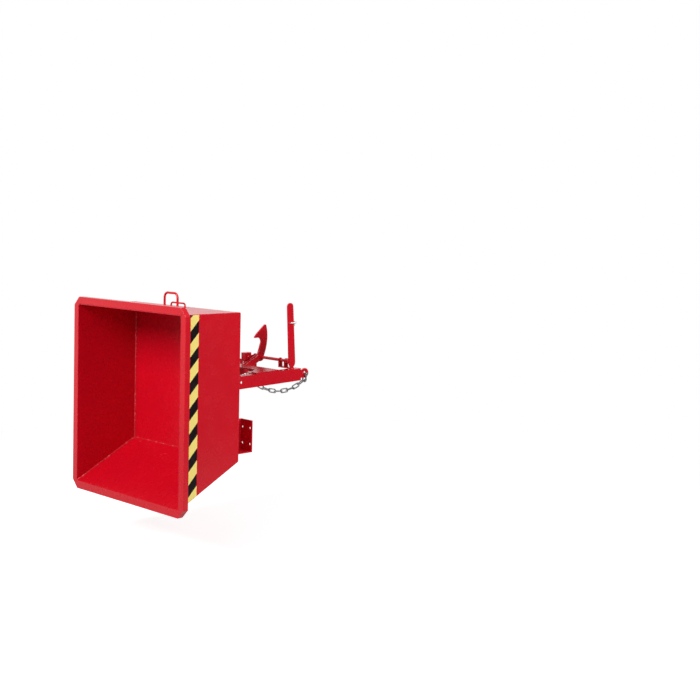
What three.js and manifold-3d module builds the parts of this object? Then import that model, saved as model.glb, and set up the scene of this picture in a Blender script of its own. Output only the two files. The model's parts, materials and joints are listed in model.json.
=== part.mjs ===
// Self dumping hopper for a fork truck, in the tipped pose.
// A bucket is hinged on a low frame that two forks carry. Its weight tips it forward by itself as soon as the
// hook at the back lets go of the round bar on its rear wall.
// Millimetres. +X is the way it tips, +Y is its left side and +Z is up. The origin is the middle of the
// underside of the middle cross plate, which lies on the forks.

import * as THREE from 'three';
import { mergeVertices } from 'three/addons/utils/BufferGeometryUtils.js';
import Module from 'manifold-3d';

const wasm = await Module();
wasm.setup();

// Clearances and drawing fineness
const gap = 0.3; // between pieces that are welded or lie on each other
const boreGap = 0.3; // radial, round a pin, shaft or bolt
const runGap = 1; // between faces that slide past each other
const overrun = 6; // how far a cutting tool stands past the face it cuts
const weldTolerance = 1e-4; // vertices closer than this are one
const roundSides = 20;
const bendSteps = 4;

// Bucket, drawn level and measured from the hinge
const mouthLength = 1000; // over the rim, front to back
const mouthWidth = 940; // over the rim, side to side
const bucketDepth = 365;
const floorLength = 738;
const sheet = 3;
const bendRadius = 7; // outside, at the folds of the tub
const floorAboveHinge = 57;
const wallBehindHinge = 371;
const tippedAngle = (88.25 / 180) * Math.PI; // how far the bucket has tipped in this pose, against its stop
const rimWidth = 36;
const rimHeight = 30;
const rimCornerCut = 42; // leg of the cut across each corner of the rim
const rimSheet = 3;
const stripWidth = 64;
const stripThickness = 0.8;
const stripMargin = 2; // from the edges of the side wall

// Round bar loops on the rear wall
const catchBar = 12; // diameter
const catchReach = 79; // from the wall to the outside of the loop
const catchSpan = 120; // over the loop
const catchAboveFloor = 97;
const catchBend = 26; // at the middle of the bar
const lashBar = 9;
const lashReach = 25;
const lashSpan = 125;
const lashAboveFloor = 52;
const lashBend = 13;

// Foot plates under the front of the floor
const footBack = 545; // from the rear wall to the foot's near end
const footLength = 159;
const footWidth = 88;
const footInset = 10; // behind the outside of the side wall
const footSheet = 5;
const footHole = 12; // diameter
const footHolesAlong = 81; // from hole to hole
const footHolesAcross = 57;

// Frame
const railHeight = 65; // channel section
const railFlange = 42;
const railWeb = 5.5;
const railFillet = 6;
const railOverWidth = 560; // over both rails
const railBack = 233; // from the origin to the rails' rear ends
const hingeAhead = 265; // from the origin to the hinge
const hingeBelow = 24.7; // from the rails' top to the hinge
const hingePin = 20; // diameter
const pinHeadWidth = 30;
const pinHeadDepth = 5;
const pinTail = 12; // past the inner lug, for its split pin
const splitWire = 4; // diameter of the split pin's shank
const splitLegs = 12; // how far it stands out on either side of the pin
const splitEye = 10;
const splitSpread = 5;
const lugPlate = 8;
const lugEye = 50; // diameter round the pin
const lugFoot = 90; // width where it meets the floor
const toolHole = 14; // diameter of the hole in each rail's web
const toolHoleAhead = 179;
const toolHoleBelow = 31;
const plateThickness = 8;
const middlePlateLength = 155; // along the rails
const middlePlateFront = 3; // its front edge over the forks
const middlePlateWaist = 175; // half the width of that edge
const frontBarWidth = 40;
const frontBarAhead = 204; // middle of the bar
const frontStrapWidth = 40;
const rearStrapWidth = 50;
const strapThickness = 6;
const rearStrapBack = 190; // middle of the strap
const seatLength = 76;
const seatWidth = 90;
const seatThickness = 6;
const seatOffset = 170; // middle of each fork
const bufferLength = 36;
const bufferWidth = 60;
const bufferOffset = 130;

// Release gear, turning on a cross shaft behind the bucket
const shaftBack = 188;
const shaftAbove = 38;
const shaftBar = 16; // diameter
const hookPlate = 10;
const hookRoot = 48; // diameter round the shaft
const hookLift = 10; // from the catch bar to the underside of the beak
const hookThroat = 16; // from the bar's middle back to the front edge below the beak
const hookThroatDepth = 26; // height of the curve up to the beak's underside
const hookReach = 29; // from the bar's middle to the beak's nose
const hookNose = 6; // height of the blunt nose
const hookShoulderBack = 15; // from the nose to where the beak's slope steepens
const hookShoulderRise = 16;
const hookTipBack = 38; // from the shaft back to the middle of the rounded tip
const hookTipRise = 60; // from the beak's underside up to it
const hookTipRadius = 8;
const hookBackBulge = 7.5; // how far the back's curve bows out behind its upper end
const hookBackDrop = 24; // from the tip's middle down to the upper end of the back's curve
const hookBackSetback = 13; // that end, behind the tip's middle
const leverPlate = 8;
const leverOffset = 242; // inner face of the lever
const leverAbove = 311; // from the shaft to the lever's tip
const leverBelow = 26; // and to its lower end
const leverSetback = 10; // of the lower end's middle, behind the shaft
const leverTipWidth = 40;
const leverRootWidth = 44;
const leverHub = 28;
const leverHubLength = 26;
const ropeHole = 13; // diameter
const ropeHoleAbove = 205;
const cheekPlate = 6;
const cheekEye = 40;
const cheekUnder = 70; // reach under the middle plate
const cheekDepth = 44; // below the plate
const cheekOutlineShares = [[1, 0.95], [0.43, 1], [-0.26, 0.7], [-1.09, 0.75]]; // of reach and of depth
const bracketPlate = 6;
const bracketLength = 26;
const bracketInner = 164; // inner leg's inner face
const bracketLegApart = 44;
const bracketTab = 54; // reach past the outer leg, onto the rail
const armPlate = 8;
const armOffset = 34.5; // its inner face, on the right of the hook
const armEye = 32;
const armWidth = 20;
const blockLength = 44;
const blockHeight = 47;
const blockWidth = 34;
const blockAhead = 45; // from the shaft to the block's middle
const boltBar = 12;
const boltHeadWidth = 20;
const boltHeadDepth = 7;
const boltTail = 3;
const stopLength = 28;
const stopReach = 47;
const stopPlate = 5;
const stopDrop = 44;

// Rear lugs, shackle and safety chain
const lugTailPlate = 10;
const lugTailEye = 52;
const lugTailHole = 20;
const lugTailBack = 35; // from the rail's end to the hole
const lugTailShank = 42; // height of the part inside the rail
const lugTailRoot = 50; // length of the part inside the rail
const lugTailRise = 3; // of the hole over the middle of the rail
const shackleBar = 9;
const shackleJaw = 15; // clear, between the legs
const shackleLeg = 30;
const shacklePin = 10;
const shackleEye = 18;
const shackleHead = 16;
const shackleHeadDepth = 4;
const linkBar = 7;
const linkPitch = 50; // inside length
const linkInside = 12; // inside width
const linkCount = 11;
const linkArcSteps = 6;
const linkSides = 6;
const hookBar = 7;
const hookInside = 13;
const hookTip = 9; // straight end past the upper bend

// Pull rope, tied through the lever's hole and put away as a hank behind the lever
const rope = 6; // diameter
const ropeTieBend = 16; // radius of the loop through the hole
const ropeSides = 8;
const ropeTieSteps = 24;
const ropeRunSteps = 9;
const ropeRunRoute = [
  [-222.5, 246, 234.6],
  [-220, 243.5, 228],
  [-210, 234, 222],
  [-202, 224, 215],
  [-200.1, 220.4, 208.5],
  [-201.3, 219.2, 202.8],
];
const knotLong = 20;
const knotWide = 16;
const knotSegments = 12;
const endKnot = 13; // diameter
const hankFold = 18; // smallest radius at the folds
const hankRun = 70; // straight part of each run
const hankTurnsPerLayer = 2;
const hankLayers = 4;
const hankPitch = 6.8; // between neighbouring runs at the waist, and between layers
const hankWaistShare = 0.2; // how much the loops are drawn in at the waist
const hankBack = 46; // from the rope's hole to the middle of the hank
const hankInboard = 45;
const hankDrop = 76;
const hankAngle = Math.PI / 4; // between its plane and the lengthwise direction
const loopSteps = 24;
const loopSides = 6;

// Places that several pieces share
const railTop = -gap;
const railBottom = railTop - railHeight;
const railSide = railOverWidth / 2;
const railTip = railSide - railFlange;
const hinge = { x: hingeAhead, z: railTop - hingeBelow };
const shaft = { x: -shaftBack, z: shaftAbove };
const bodySide = mouthWidth / 2 - rimWidth;
const floorZ = floorAboveHinge;
const mouthZ = floorAboveHinge + bucketDepth;
const rearX = -wallBehindHinge;
const floorFrontX = rearX + floorLength;
const mouthFrontX = rearX + mouthLength - 2 * rimWidth;
const slopeRun = mouthFrontX - floorFrontX;
const slopeAngle = Math.atan2(bucketDepth, slopeRun);
const groundBelowHinge = railBottom - hinge.z;
const innerSeat = railSide - railWeb;

// Finishes
const finishes = {
  red: new THREE.MeshStandardMaterial({ color: 0xc8202e, roughness: 0.35, metalness: 0 }),
  zinc: new THREE.MeshStandardMaterial({ color: 0xb4b8ba, roughness: 0.4, metalness: 0.9 }),
  rubber: new THREE.MeshStandardMaterial({ color: 0x1c1c1d, roughness: 0.8, metalness: 0 }),
  strip: new THREE.MeshStandardMaterial({ color: 0xf0d860, roughness: 0.45, metalness: 0 }),
  rope: new THREE.MeshStandardMaterial({ color: 0xe9e7e0, roughness: 0.9, metalness: 0 }),
};

const hopper = new THREE.Group();
const bucket = new THREE.Group();
bucket.position.set(hinge.x, 0, hinge.z);
bucket.rotation.y = tippedAngle;
hopper.add(bucket);

function add(group, name, geometry, finish) {
  const bare = geometry.index ? geometry.toNonIndexed() : geometry;
  bare.computeVertexNormals();
  const mesh = new THREE.Mesh(bare, finish);
  mesh.name = name;
  group.add(mesh);
  return mesh;
}

function point(x, z) {
  return new THREE.Vector2(x, z);
}

function disc(x, z, radius, sides = roundSides) {
  const points = Array.from({ length: sides }, (_, i) => {
    const angle = (i / sides) * 2 * Math.PI;
    return point(x + radius * Math.cos(angle), z + radius * Math.sin(angle));
  });
  return new THREE.Shape(points);
}

function extrude(shape, depth) {
  return new THREE.ExtrudeGeometry(shape, { depth, bevelEnabled: false, curveSegments: roundSides });
}

// A shape drawn in x and z, made a plate that fills y from low to high
function plateXZ(shape, low, high) {
  return extrude(shape, high - low).rotateX(Math.PI / 2).translate(0, high, 0);
}

// A shape drawn in y and z, made a bar that runs along x from low to high
function barYZ(shape, low, high) {
  const turn = new THREE.Matrix4().makeBasis(
    new THREE.Vector3(0, 1, 0),
    new THREE.Vector3(0, 0, 1),
    new THREE.Vector3(1, 0, 0),
  );
  return extrude(shape, high - low).applyMatrix4(turn).translate(low, 0, 0);
}

// A shape drawn in x and y, made a plate that fills z from low to high
function plateXY(shape, low, high) {
  return extrude(shape, high - low).translate(0, 0, low);
}

function block(xLow, xHigh, yLow, yHigh, zLow, zHigh) {
  const box = new THREE.BoxGeometry(xHigh - xLow, yHigh - yLow, zHigh - zLow);
  return box.translate((xLow + xHigh) / 2, (yLow + yHigh) / 2, (zLow + zHigh) / 2);
}

function solidOf(geometry) {
  const bare = geometry.clone();
  bare.deleteAttribute('normal');
  bare.deleteAttribute('uv');
  const merged = mergeVertices(bare, weldTolerance);
  const vertProperties = new Float32Array(merged.attributes.position.array);
  const triVerts = new Uint32Array(merged.index.array);
  return new wasm.Manifold(new wasm.Mesh({ numProp: 3, vertProperties, triVerts }));
}

function geometryOf(solid) {
  const mesh = solid.getMesh();
  const geometry = new THREE.BufferGeometry();
  geometry.setAttribute('position', new THREE.BufferAttribute(mesh.vertProperties, mesh.numProp));
  geometry.setIndex(new THREE.BufferAttribute(mesh.triVerts, 1));
  return geometry;
}

function cut(geometry, ...tools) {
  return geometryOf(tools.reduce((left, tool) => left.subtract(solidOf(tool)), solidOf(geometry)));
}

function join(...geometries) {
  return geometryOf(geometries.map(solidOf).reduce((whole, piece) => whole.add(piece)));
}

// A list of points that a bar or rope follows, one step of the sweep to each
class Route extends THREE.Curve {
  constructor(points, closed = false) {
    super();
    this.points = points;
    this.closed = closed;
    this.steps = closed ? points.length : points.length - 1;
  }

  at(index) {
    const count = this.points.length;
    if (this.closed) return this.points[(index + count) % count];
    return this.points[Math.min(Math.max(index, 0), count - 1)];
  }

  getPointAt(share, target = new THREE.Vector3()) {
    return target.copy(this.at(Math.round(share * this.steps)));
  }

  getPoint(share, target) {
    return this.getPointAt(share, target);
  }

  getTangentAt(share, target = new THREE.Vector3()) {
    const index = Math.round(share * this.steps);
    return target.copy(this.at(index + 1)).sub(this.at(index - 1)).normalize();
  }
}

function roundBar(points, diameter, sides) {
  const route = new Route(points);
  const section = disc(0, 0, diameter / 2, sides);
  return new THREE.ExtrudeGeometry(section, { steps: route.steps, extrudePath: route });
}

// Points along straight lines through the corners, each corner rounded to the radius
function roundCorners(corners, radius, steps) {
  const points = [corners[0]];
  for (let i = 1; i < corners.length - 1; i += 1) {
    const back = corners[i - 1].clone().sub(corners[i]).normalize();
    const ahead = corners[i + 1].clone().sub(corners[i]).normalize();
    const turn = Math.PI - back.angleTo(ahead);
    const side = -Math.sign(back.cross(ahead));
    const start = back.clone().multiplyScalar(radius * Math.tan(turn / 2)).add(corners[i]);
    const middle = back.clone().add(ahead).normalize();
    const centre = middle.multiplyScalar(radius / Math.cos(turn / 2)).add(corners[i]);
    for (let k = 0; k <= steps; k += 1) {
      points.push(start.clone().rotateAround(centre, (side * turn * k) / steps));
    }
  }
  points.push(corners[corners.length - 1]);
  return points;
}

// Both sides of the hopper carry the same piece, mirrored across the middle
function bothSides(group, name, make, finish) {
  for (const [side, sign] of [['left', 1], ['right', -1]]) add(group, `${name}_${side}`, make(sign), finish);
}

// y limits of something drawn for the left side, on either side
function span(sign, inner, outer) {
  return sign > 0 ? [inner, outer] : [-outer, -inner];
}

// The bucket's outline from the side, outside face when inset is zero
function tubOutline(inset) {
  const radius = bendRadius - inset;
  const shift = inset * Math.tan(slopeAngle / 2);
  const corners = [
    point(rearX + inset, mouthZ),
    point(rearX + inset, floorZ + inset),
    point(floorFrontX - shift, floorZ + inset),
    point(mouthFrontX - inset / Math.sin(slopeAngle), mouthZ),
  ];
  return roundCorners(corners, radius, bendSteps);
}

function slopeX(z) {
  return floorFrontX + (z - floorZ) / Math.tan(slopeAngle);
}

// Rear wall, floor and sloped front, folded from one sheet
function makeTub() {
  const outline = [...tubOutline(0), ...tubOutline(sheet).reverse()];
  const half = bodySide - sheet - gap;
  return plateXZ(new THREE.Shape(outline), -half, half);
}

function makeSideWall(sign) {
  return plateXZ(new THREE.Shape(tubOutline(0)), ...span(sign, bodySide - sheet, bodySide));
}

// One side of the rim seen from above: along the bar, and outwards from the wall
function rimOutline(halfLength, inner, wall) {
  const outer = rimWidth - wall;
  const mitre = wall > 0 ? overrun : -gap;
  const cutLine = halfLength + 2 * rimWidth - rimCornerCut - wall * Math.SQRT2;
  const turnOut = (cutLine - halfLength - mitre) / 2;
  const half = [
    point(halfLength + Math.min(inner, 0) + mitre, inner),
    point(halfLength + turnOut + mitre, turnOut),
    point(cutLine - outer, outer),
  ];
  if (inner < 0) half.unshift(point(halfLength - gap, inner));
  if (inner < 0) half[1] = point(halfLength - gap, 0);
  const mirrored = half.map((p) => point(-p.x, p.y)).reverse();
  return new THREE.Shape([...half, ...mirrored]);
}

// A channel with its open side against the wall, mitred and with its corners cut
function rimBar(halfLength, inner) {
  const low = mouthZ - rimHeight;
  const whole = plateXY(rimOutline(halfLength, inner, 0), low, mouthZ);
  const inside = rimOutline(halfLength, inner - overrun, rimSheet);
  const hollow = plateXY(inside, low + rimSheet, mouthZ - rimSheet);
  return cut(whole, hollow);
}

function makeRim() {
  const halfX = (mouthFrontX - rearX) / 2;
  const middleX = (mouthFrontX + rearX) / 2;
  const lean = rimHeight / Math.tan(slopeAngle);
  const quarter = Math.PI / 2;
  const sideBar = (turn) => rimBar(halfX, gap).rotateZ(turn);
  add(bucket, 'rim_bar_left', sideBar(0).translate(middleX, bodySide, 0), finishes.red);
  add(bucket, 'rim_bar_right', sideBar(2 * quarter).translate(middleX, -bodySide, 0), finishes.red);
  add(bucket, 'rim_bar_rear', rimBar(bodySide, gap).rotateZ(quarter).translate(rearX, 0, 0), finishes.red);
  const front = rimBar(bodySide, -lean).rotateZ(-quarter).translate(mouthFrontX, 0, 0);
  const tubSpace = plateXZ(new THREE.Shape(tubOutline(-gap)), -mouthWidth, mouthWidth);
  add(bucket, 'rim_bar_front', cut(front, tubSpace), finishes.red);
}

// A stripe along the side wall, right behind the rim, cut off along the sloped edge
function makeStrip(sign) {
  const high = mouthZ - rimHeight - gap;
  const low = high - stripWidth;
  const outline = [
    point(rearX + stripMargin, low),
    point(slopeX(low) - stripMargin, low),
    point(slopeX(high) - stripMargin, high),
    point(rearX + stripMargin, high),
  ];
  return plateXZ(new THREE.Shape(outline), ...span(sign, bodySide + gap, bodySide + gap + stripThickness));
}

// A bent bar whose two feet stand on the rear wall
function makeWallLoop(bar, reach, width, aboveFloor, bend) {
  const side = (width - bar) / 2;
  const top = rearX - reach + bar / 2;
  const foot = rearX - gap;
  const corners = [point(foot, -side), point(top, -side), point(top, side), point(foot, side)];
  const route = roundCorners(corners, bend, bendSteps + bendSteps / 2);
  return roundBar(route.map((p) => new THREE.Vector3(p.x, p.y, floorZ + aboveFloor)), bar, roundSides / 2);
}

// A sole with four holes, level with the rails' underside, hung from the floor by an inner web and a front end
function makeFoot(sign) {
  const back = rearX + footBack;
  const front = back + footLength;
  const top = floorZ - gap;
  const outer = bodySide - footInset;
  const inner = outer - footWidth;
  const limits = span(sign, inner, outer);
  const soleTop = groundBelowHinge + footSheet;
  const holes = [];
  for (const along of [-footHolesAlong / 2, footHolesAlong / 2]) {
    for (const across of [-footHolesAcross / 2, footHolesAcross / 2]) {
      const [x, y] = [(back + front) / 2 + along, sign * ((inner + outer) / 2 + across)];
      holes.push(plateXY(disc(x, y, footHole / 2), groundBelowHinge - overrun, soleTop + overrun));
    }
  }
  const sole = block(back, front, ...limits, groundBelowHinge, soleTop);
  const web = block(back, front, ...span(sign, inner, inner + footSheet), groundBelowHinge, top);
  const end = block(front - footSheet, front, ...limits, groundBelowHinge, top);
  return cut(join(sole, web, end), ...holes);
}

// Two lugs on each side of the bucket hold the hinge pin, one outside the rail and one inside it
function makeHingeLug(sign, inner) {
  const top = floorZ - gap;
  const outline = new THREE.Shape([
    point(-lugFoot / 2, top),
    point(-lugEye / 2, 0),
    point(lugEye / 2, 0),
    point(lugFoot / 2, top),
  ]);
  const limits = span(sign, inner, inner + lugPlate);
  const eye = plateXZ(disc(0, 0, lugEye / 2), ...limits);
  const hole = plateXZ(disc(0, 0, hingePin / 2 + boreGap), limits[0] - overrun, limits[1] + overrun);
  return cut(join(plateXZ(outline, ...limits), eye), hole);
}

function makeBucket() {
  add(bucket, 'tub_wrapper', makeTub(), finishes.red);
  bothSides(bucket, 'side_wall', makeSideWall, finishes.red);
  makeRim();
  bothSides(bucket, 'warning_strip', makeStrip, finishes.strip);
  const catchLoop = makeWallLoop(catchBar, catchReach, catchSpan, catchAboveFloor, catchBend);
  add(bucket, 'catch_loop', catchLoop, finishes.red);
  const lashLoop = makeWallLoop(lashBar, lashReach, lashSpan, lashAboveFloor, lashBend);
  add(bucket, 'lashing_loop', lashLoop, finishes.red);
  bothSides(bucket, 'foot_plate', makeFoot, finishes.red);
  bothSides(bucket, 'hinge_lug_outer', (sign) => makeHingeLug(sign, railSide + runGap), finishes.red);
  bothSides(bucket, 'hinge_lug_inner', (sign) => makeHingeLug(sign, railTip - runGap - lugPlate), finishes.red);
}

// A channel with its web outside. Its front end is the stop that the tipped bucket's floor lies against, and is
// rounded above the hinge so that the floor can swing past it.
function makeRail(sign) {
  const [tip, side] = [sign * railTip, sign * railSide];
  const [web, flangeTop, flangeLow] = [sign * innerSeat, railTop - railWeb, railBottom + railWeb];
  const inside = roundCorners(
    [point(tip, flangeLow), point(web, flangeLow), point(web, flangeTop), point(tip, flangeTop)],
    railFillet,
    bendSteps,
  );
  const section = [point(tip, railTop), point(side, railTop), point(side, railBottom), point(tip, railBottom)];
  const sweep = floorAboveHinge - gap;
  const ahead = hinge.x + floorAboveHinge + overrun;
  const rail = barYZ(new THREE.Shape([...section, ...inside]), -railBack, ahead);
  const limits = span(sign, railTip - overrun, railSide + overrun);
  const corner = block(hinge.x, ahead + overrun, ...limits, hinge.z, railTop + overrun);
  const stopped = block(-railHeight, 2 * railHeight, ...limits, sweep, sweep + 4 * overrun);
  stopped.rotateY(tippedAngle).translate(hinge.x, 0, hinge.z);
  const nose = cut(corner, plateXZ(disc(hinge.x, hinge.z, sweep, 4 * roundSides), ...limits));
  const pinHole = plateXZ(disc(hinge.x, hinge.z, hingePin / 2 + boreGap), ...limits);
  const webHole = plateXZ(disc(toolHoleAhead, railTop - toolHoleBelow, toolHole / 2), ...limits);
  return cut(rail, nose, stopped, pinHole, webHole);
}

function splitPinY() {
  return railTip - runGap - lugPlate - pinTail / 2;
}

function makeHingePin(sign) {
  const outer = railSide + runGap + lugPlate + gap;
  const inner = railTip - runGap - lugPlate - pinTail;
  const bar = plateXZ(disc(hinge.x, hinge.z, hingePin / 2), ...span(sign, inner, outer + pinHeadDepth));
  const head = plateXZ(disc(hinge.x, hinge.z, pinHeadWidth / 2), ...span(sign, outer, outer + pinHeadDepth));
  const half = hingePin / 2 + overrun;
  const hole = plateXY(disc(hinge.x, sign * splitPinY(), splitWire / 2 + boreGap), hinge.z - half, hinge.z + half);
  return cut(join(bar, head), hole);
}

// The split pin: an eye above, the shank through the hinge pin, and two legs bent apart below
function makeSplitPin(sign) {
  const y = sign * splitPinY();
  const top = hinge.z + hingePin / 2 + splitLegs / 2;
  const low = hinge.z - hingePin / 2 - splitLegs / 2;
  const sides = roundSides / 2;
  const shank = plateXY(disc(hinge.x, y, splitWire / 2, sides), low, top);
  const eyeRadius = (splitEye - splitWire / 2) / 2;
  const eye = new THREE.TorusGeometry(eyeRadius, splitWire / 4, sides, sides);
  eye.rotateX(Math.PI / 2).translate(hinge.x, y, top + eyeRadius);
  const legs = [1, -1].map((side) => {
    const start = new THREE.Vector3(hinge.x + (side * splitWire) / 4, y, low + splitWire / 2);
    const end = new THREE.Vector3(hinge.x + side * splitSpread, y, low - splitLegs / 2);
    return roundBar([start, start.clone().setZ(low), end], splitWire / 2, sides);
  });
  return join(shank, eye, ...legs);
}

// The lug's shank lies inside the rail against its web, and its eye stands out behind
function makeRearLug(sign) {
  const limits = span(sign, innerSeat - gap - lugTailPlate, innerSeat - gap);
  const middle = (railTop + railBottom) / 2;
  const eyeX = -railBack - lugTailBack;
  const shank = block(eyeX, -railBack + lugTailRoot, ...limits, middle - lugTailShank / 2, middle + lugTailShank / 2);
  const eye = plateXZ(disc(eyeX, middle + lugTailRise, lugTailEye / 2), ...limits);
  const hole = plateXZ(disc(eyeX, middle + lugTailRise, lugTailHole / 2), limits[0] - overrun, limits[1] + overrun);
  return cut(join(shank, eye), hole);
}

// A flat bar that lies on the rails' lower flanges and closes the fork lanes from below
function makeStrap(middleX, width) {
  const low = railBottom + railWeb + gap;
  const half = innerSeat - lugTailPlate - runGap;
  return block(middleX - width / 2, middleX + width / 2, -half, half, low, low + strapThickness);
}

// The middle cross plate seen from above: full length on the rails, narrower between them
function makeMiddlePlate() {
  const half = middlePlateLength / 2;
  const front = [
    point(half, railSide),
    point(half, railTip),
    point(middlePlateFront, middlePlateWaist),
  ];
  const mirrored = front.map((p) => point(p.x, -p.y)).reverse();
  const outline = [point(-half, railSide), ...front, ...mirrored, point(-half, -railSide)];
  return plateXY(new THREE.Shape(outline), 0, plateThickness);
}

function makeFrame() {
  bothSides(hopper, 'rail', makeRail, finishes.red);
  bothSides(hopper, 'hinge_pin', makeHingePin, finishes.zinc);
  bothSides(hopper, 'split_pin', makeSplitPin, finishes.zinc);
  add(hopper, 'middle_cross_plate', makeMiddlePlate(), finishes.red);
  const [low, high] = [frontBarAhead - frontBarWidth / 2, frontBarAhead + frontBarWidth / 2];
  const frontBar = block(low, high, -railSide, railSide, 0, plateThickness);
  add(hopper, 'front_cross_bar', frontBar, finishes.red);
  add(hopper, 'front_bottom_strap', makeStrap(frontBarAhead, frontStrapWidth), finishes.red);
  add(hopper, 'rear_bottom_strap', makeStrap(-rearStrapBack, rearStrapWidth), finishes.red);
  const makeSeat = (sign) => {
    const limits = span(sign, seatOffset - seatWidth / 2, seatOffset + seatWidth / 2);
    const back = -middlePlateLength / 2;
    return block(back, back + seatLength, ...limits, -gap - seatThickness, -gap);
  };
  bothSides(hopper, 'fork_seat', makeSeat, finishes.red);
  const makeBuffer = (sign) => {
    const limits = span(sign, bufferOffset - bufferWidth / 2, bufferOffset + bufferWidth / 2);
    const base = plateThickness + gap;
    const [back, front] = [frontBarAhead - bufferLength / 2, frontBarAhead + bufferLength / 2];
    return block(back, front, ...limits, base, hinge.z + floorAboveHinge - gap);
  };
  bothSides(hopper, 'rest_buffer', makeBuffer, finishes.rubber);
  bothSides(hopper, 'rear_lug', makeRearLug, finishes.red);
}

// Two cheeks under and behind the middle plate carry the shaft on both sides of the hook
function makeCheek(sign) {
  const plateEdge = -middlePlateLength / 2 - gap;
  const lower = cheekOutlineShares.map(([reach, depth]) => {
    return point(plateEdge + reach * cheekUnder, -gap - depth * cheekDepth);
  });
  const radius = cheekEye / 2;
  const outline = [
    point(plateEdge, -gap),
    point(plateEdge + cheekUnder, -gap),
    ...lower,
    point(lower[lower.length - 1].x, plateThickness),
    point(shaft.x + radius * Math.sin(Math.PI / 6), shaft.z - radius * Math.cos(Math.PI / 6)),
    point(shaft.x, shaft.z),
    point(shaft.x + radius * Math.sin(Math.PI / 6), shaft.z + radius * Math.cos(Math.PI / 6)),
    point(plateEdge, plateThickness),
  ];
  const inner = hookPlate / 2 + 2 * runGap;
  const limits = span(sign, inner, inner + cheekPlate);
  const eye = plateXZ(disc(shaft.x, shaft.z, radius), ...limits);
  return cut(join(plateXZ(new THREE.Shape(outline), ...limits), eye), shaftHole(limits));
}

function shaftHole(limits) {
  return plateXZ(disc(shaft.x, shaft.z, shaftBar / 2 + boreGap), limits[0] - overrun, limits[1] + overrun);
}

// A strap folded to two legs, welded on the left rail and reaching inwards over the fork's lane
function makeBracket() {
  const outerLeg = bracketInner + bracketLegApart;
  const end = outerLeg + bracketTab;
  const top = shaft.z + bracketLength / 2;
  const section = [
    point(bracketInner, 0),
    point(end, 0),
    point(end, bracketPlate),
    point(outerLeg + bracketPlate, bracketPlate),
    point(outerLeg + bracketPlate, top),
    point(outerLeg, top),
    point(outerLeg, bracketPlate),
    point(bracketInner + bracketPlate, bracketPlate),
    point(bracketInner + bracketPlate, top),
    point(bracketInner, top),
  ];
  const half = bracketLength / 2;
  const blank = barYZ(new THREE.Shape(section), shaft.x - half, shaft.x + half);
  const limits = [bracketInner - overrun, end + overrun];
  const crown = block(shaft.x - half - overrun, shaft.x + half + overrun, ...limits, shaft.z, top + overrun);
  const shoulders = cut(crown, plateXZ(disc(shaft.x, shaft.z, half, 2 * roundSides), ...limits));
  return cut(blank, shoulders, shaftHole(limits));
}

// The hook is drawn from the side and measured from the shaft. Its beak reaches over the catch bar of the level
// bucket, and the slope above the nose lets the bar push the hook aside as the bucket comes down.
function makeHook() {
  const bar = point(hinge.x + rearX - catchReach + catchBar / 2, hinge.z + floorZ + catchAboveFloor);
  bar.sub(point(shaft.x, shaft.z));
  const under = bar.y + catchBar / 2 + hookLift;
  const [noseX, throatX] = [bar.x + hookReach, bar.x - hookThroat];
  const shoulder = point(noseX - hookShoulderBack, under + hookNose + hookShoulderRise);
  const tip = point(-hookTipBack, under + hookTipRise);
  const eye = hookRoot / 2;
  const front = Math.atan2(shoulder.x - tip.x, tip.y - shoulder.y);
  const shape = new THREE.Shape();
  shape.moveTo(eye, 0);
  shape.lineTo(throatX, under - hookThroatDepth);
  shape.quadraticCurveTo(throatX, under, throatX + hookThroatDepth, under);
  shape.lineTo(noseX, under);
  shape.lineTo(noseX, under + hookNose);
  shape.lineTo(shoulder.x, shoulder.y);
  shape.absarc(tip.x, tip.y, hookTipRadius, Math.PI / 2 - front, Math.PI);
  const back = point(tip.x - hookBackSetback, tip.y - hookBackDrop);
  shape.lineTo(back.x, back.y);
  shape.quadraticCurveTo(back.x - hookBackBulge, back.y / 2, -eye, 0);
  const limits = [-hookPlate / 2, hookPlate / 2];
  const plate = plateXZ(shape, ...limits).translate(shaft.x, 0, shaft.z);
  const root = plateXZ(disc(shaft.x, shaft.z, eye), ...limits);
  return cut(join(plate, root), shaftHole(limits));
}

// A flat bar with round ends that leans a little, a short hub tube on its inner side and a hole for the rope
function makeLever() {
  const limits = [leverOffset, leverOffset + leverPlate];
  const [tip, foot] = [leverTipWidth / 2, leverRootWidth / 2];
  const tipZ = shaft.z + leverAbove - tip;
  const [footX, footZ] = [shaft.x - leverSetback, shaft.z - leverBelow + foot];
  const bar = new THREE.Shape([
    point(footX - foot, footZ),
    point(footX + foot, footZ),
    point(shaft.x + tip, tipZ),
    point(shaft.x - tip, tipZ),
  ]);
  const root = plateXZ(disc(footX, footZ, foot), ...limits);
  const end = plateXZ(disc(shaft.x, tipZ, tip), ...limits);
  const hub = plateXZ(disc(shaft.x, shaft.z, leverHub / 2), leverOffset - leverHubLength, leverOffset + gap);
  const hole = plateXZ(disc(shaft.x, shaft.z + ropeHoleAbove, ropeHole / 2), leverOffset - overrun, limits[1] + overrun);
  const bore = shaftHole([leverOffset - leverHubLength, limits[1]]);
  return cut(join(plateXZ(bar, ...limits), root, end, hub), hole, bore);
}

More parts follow.
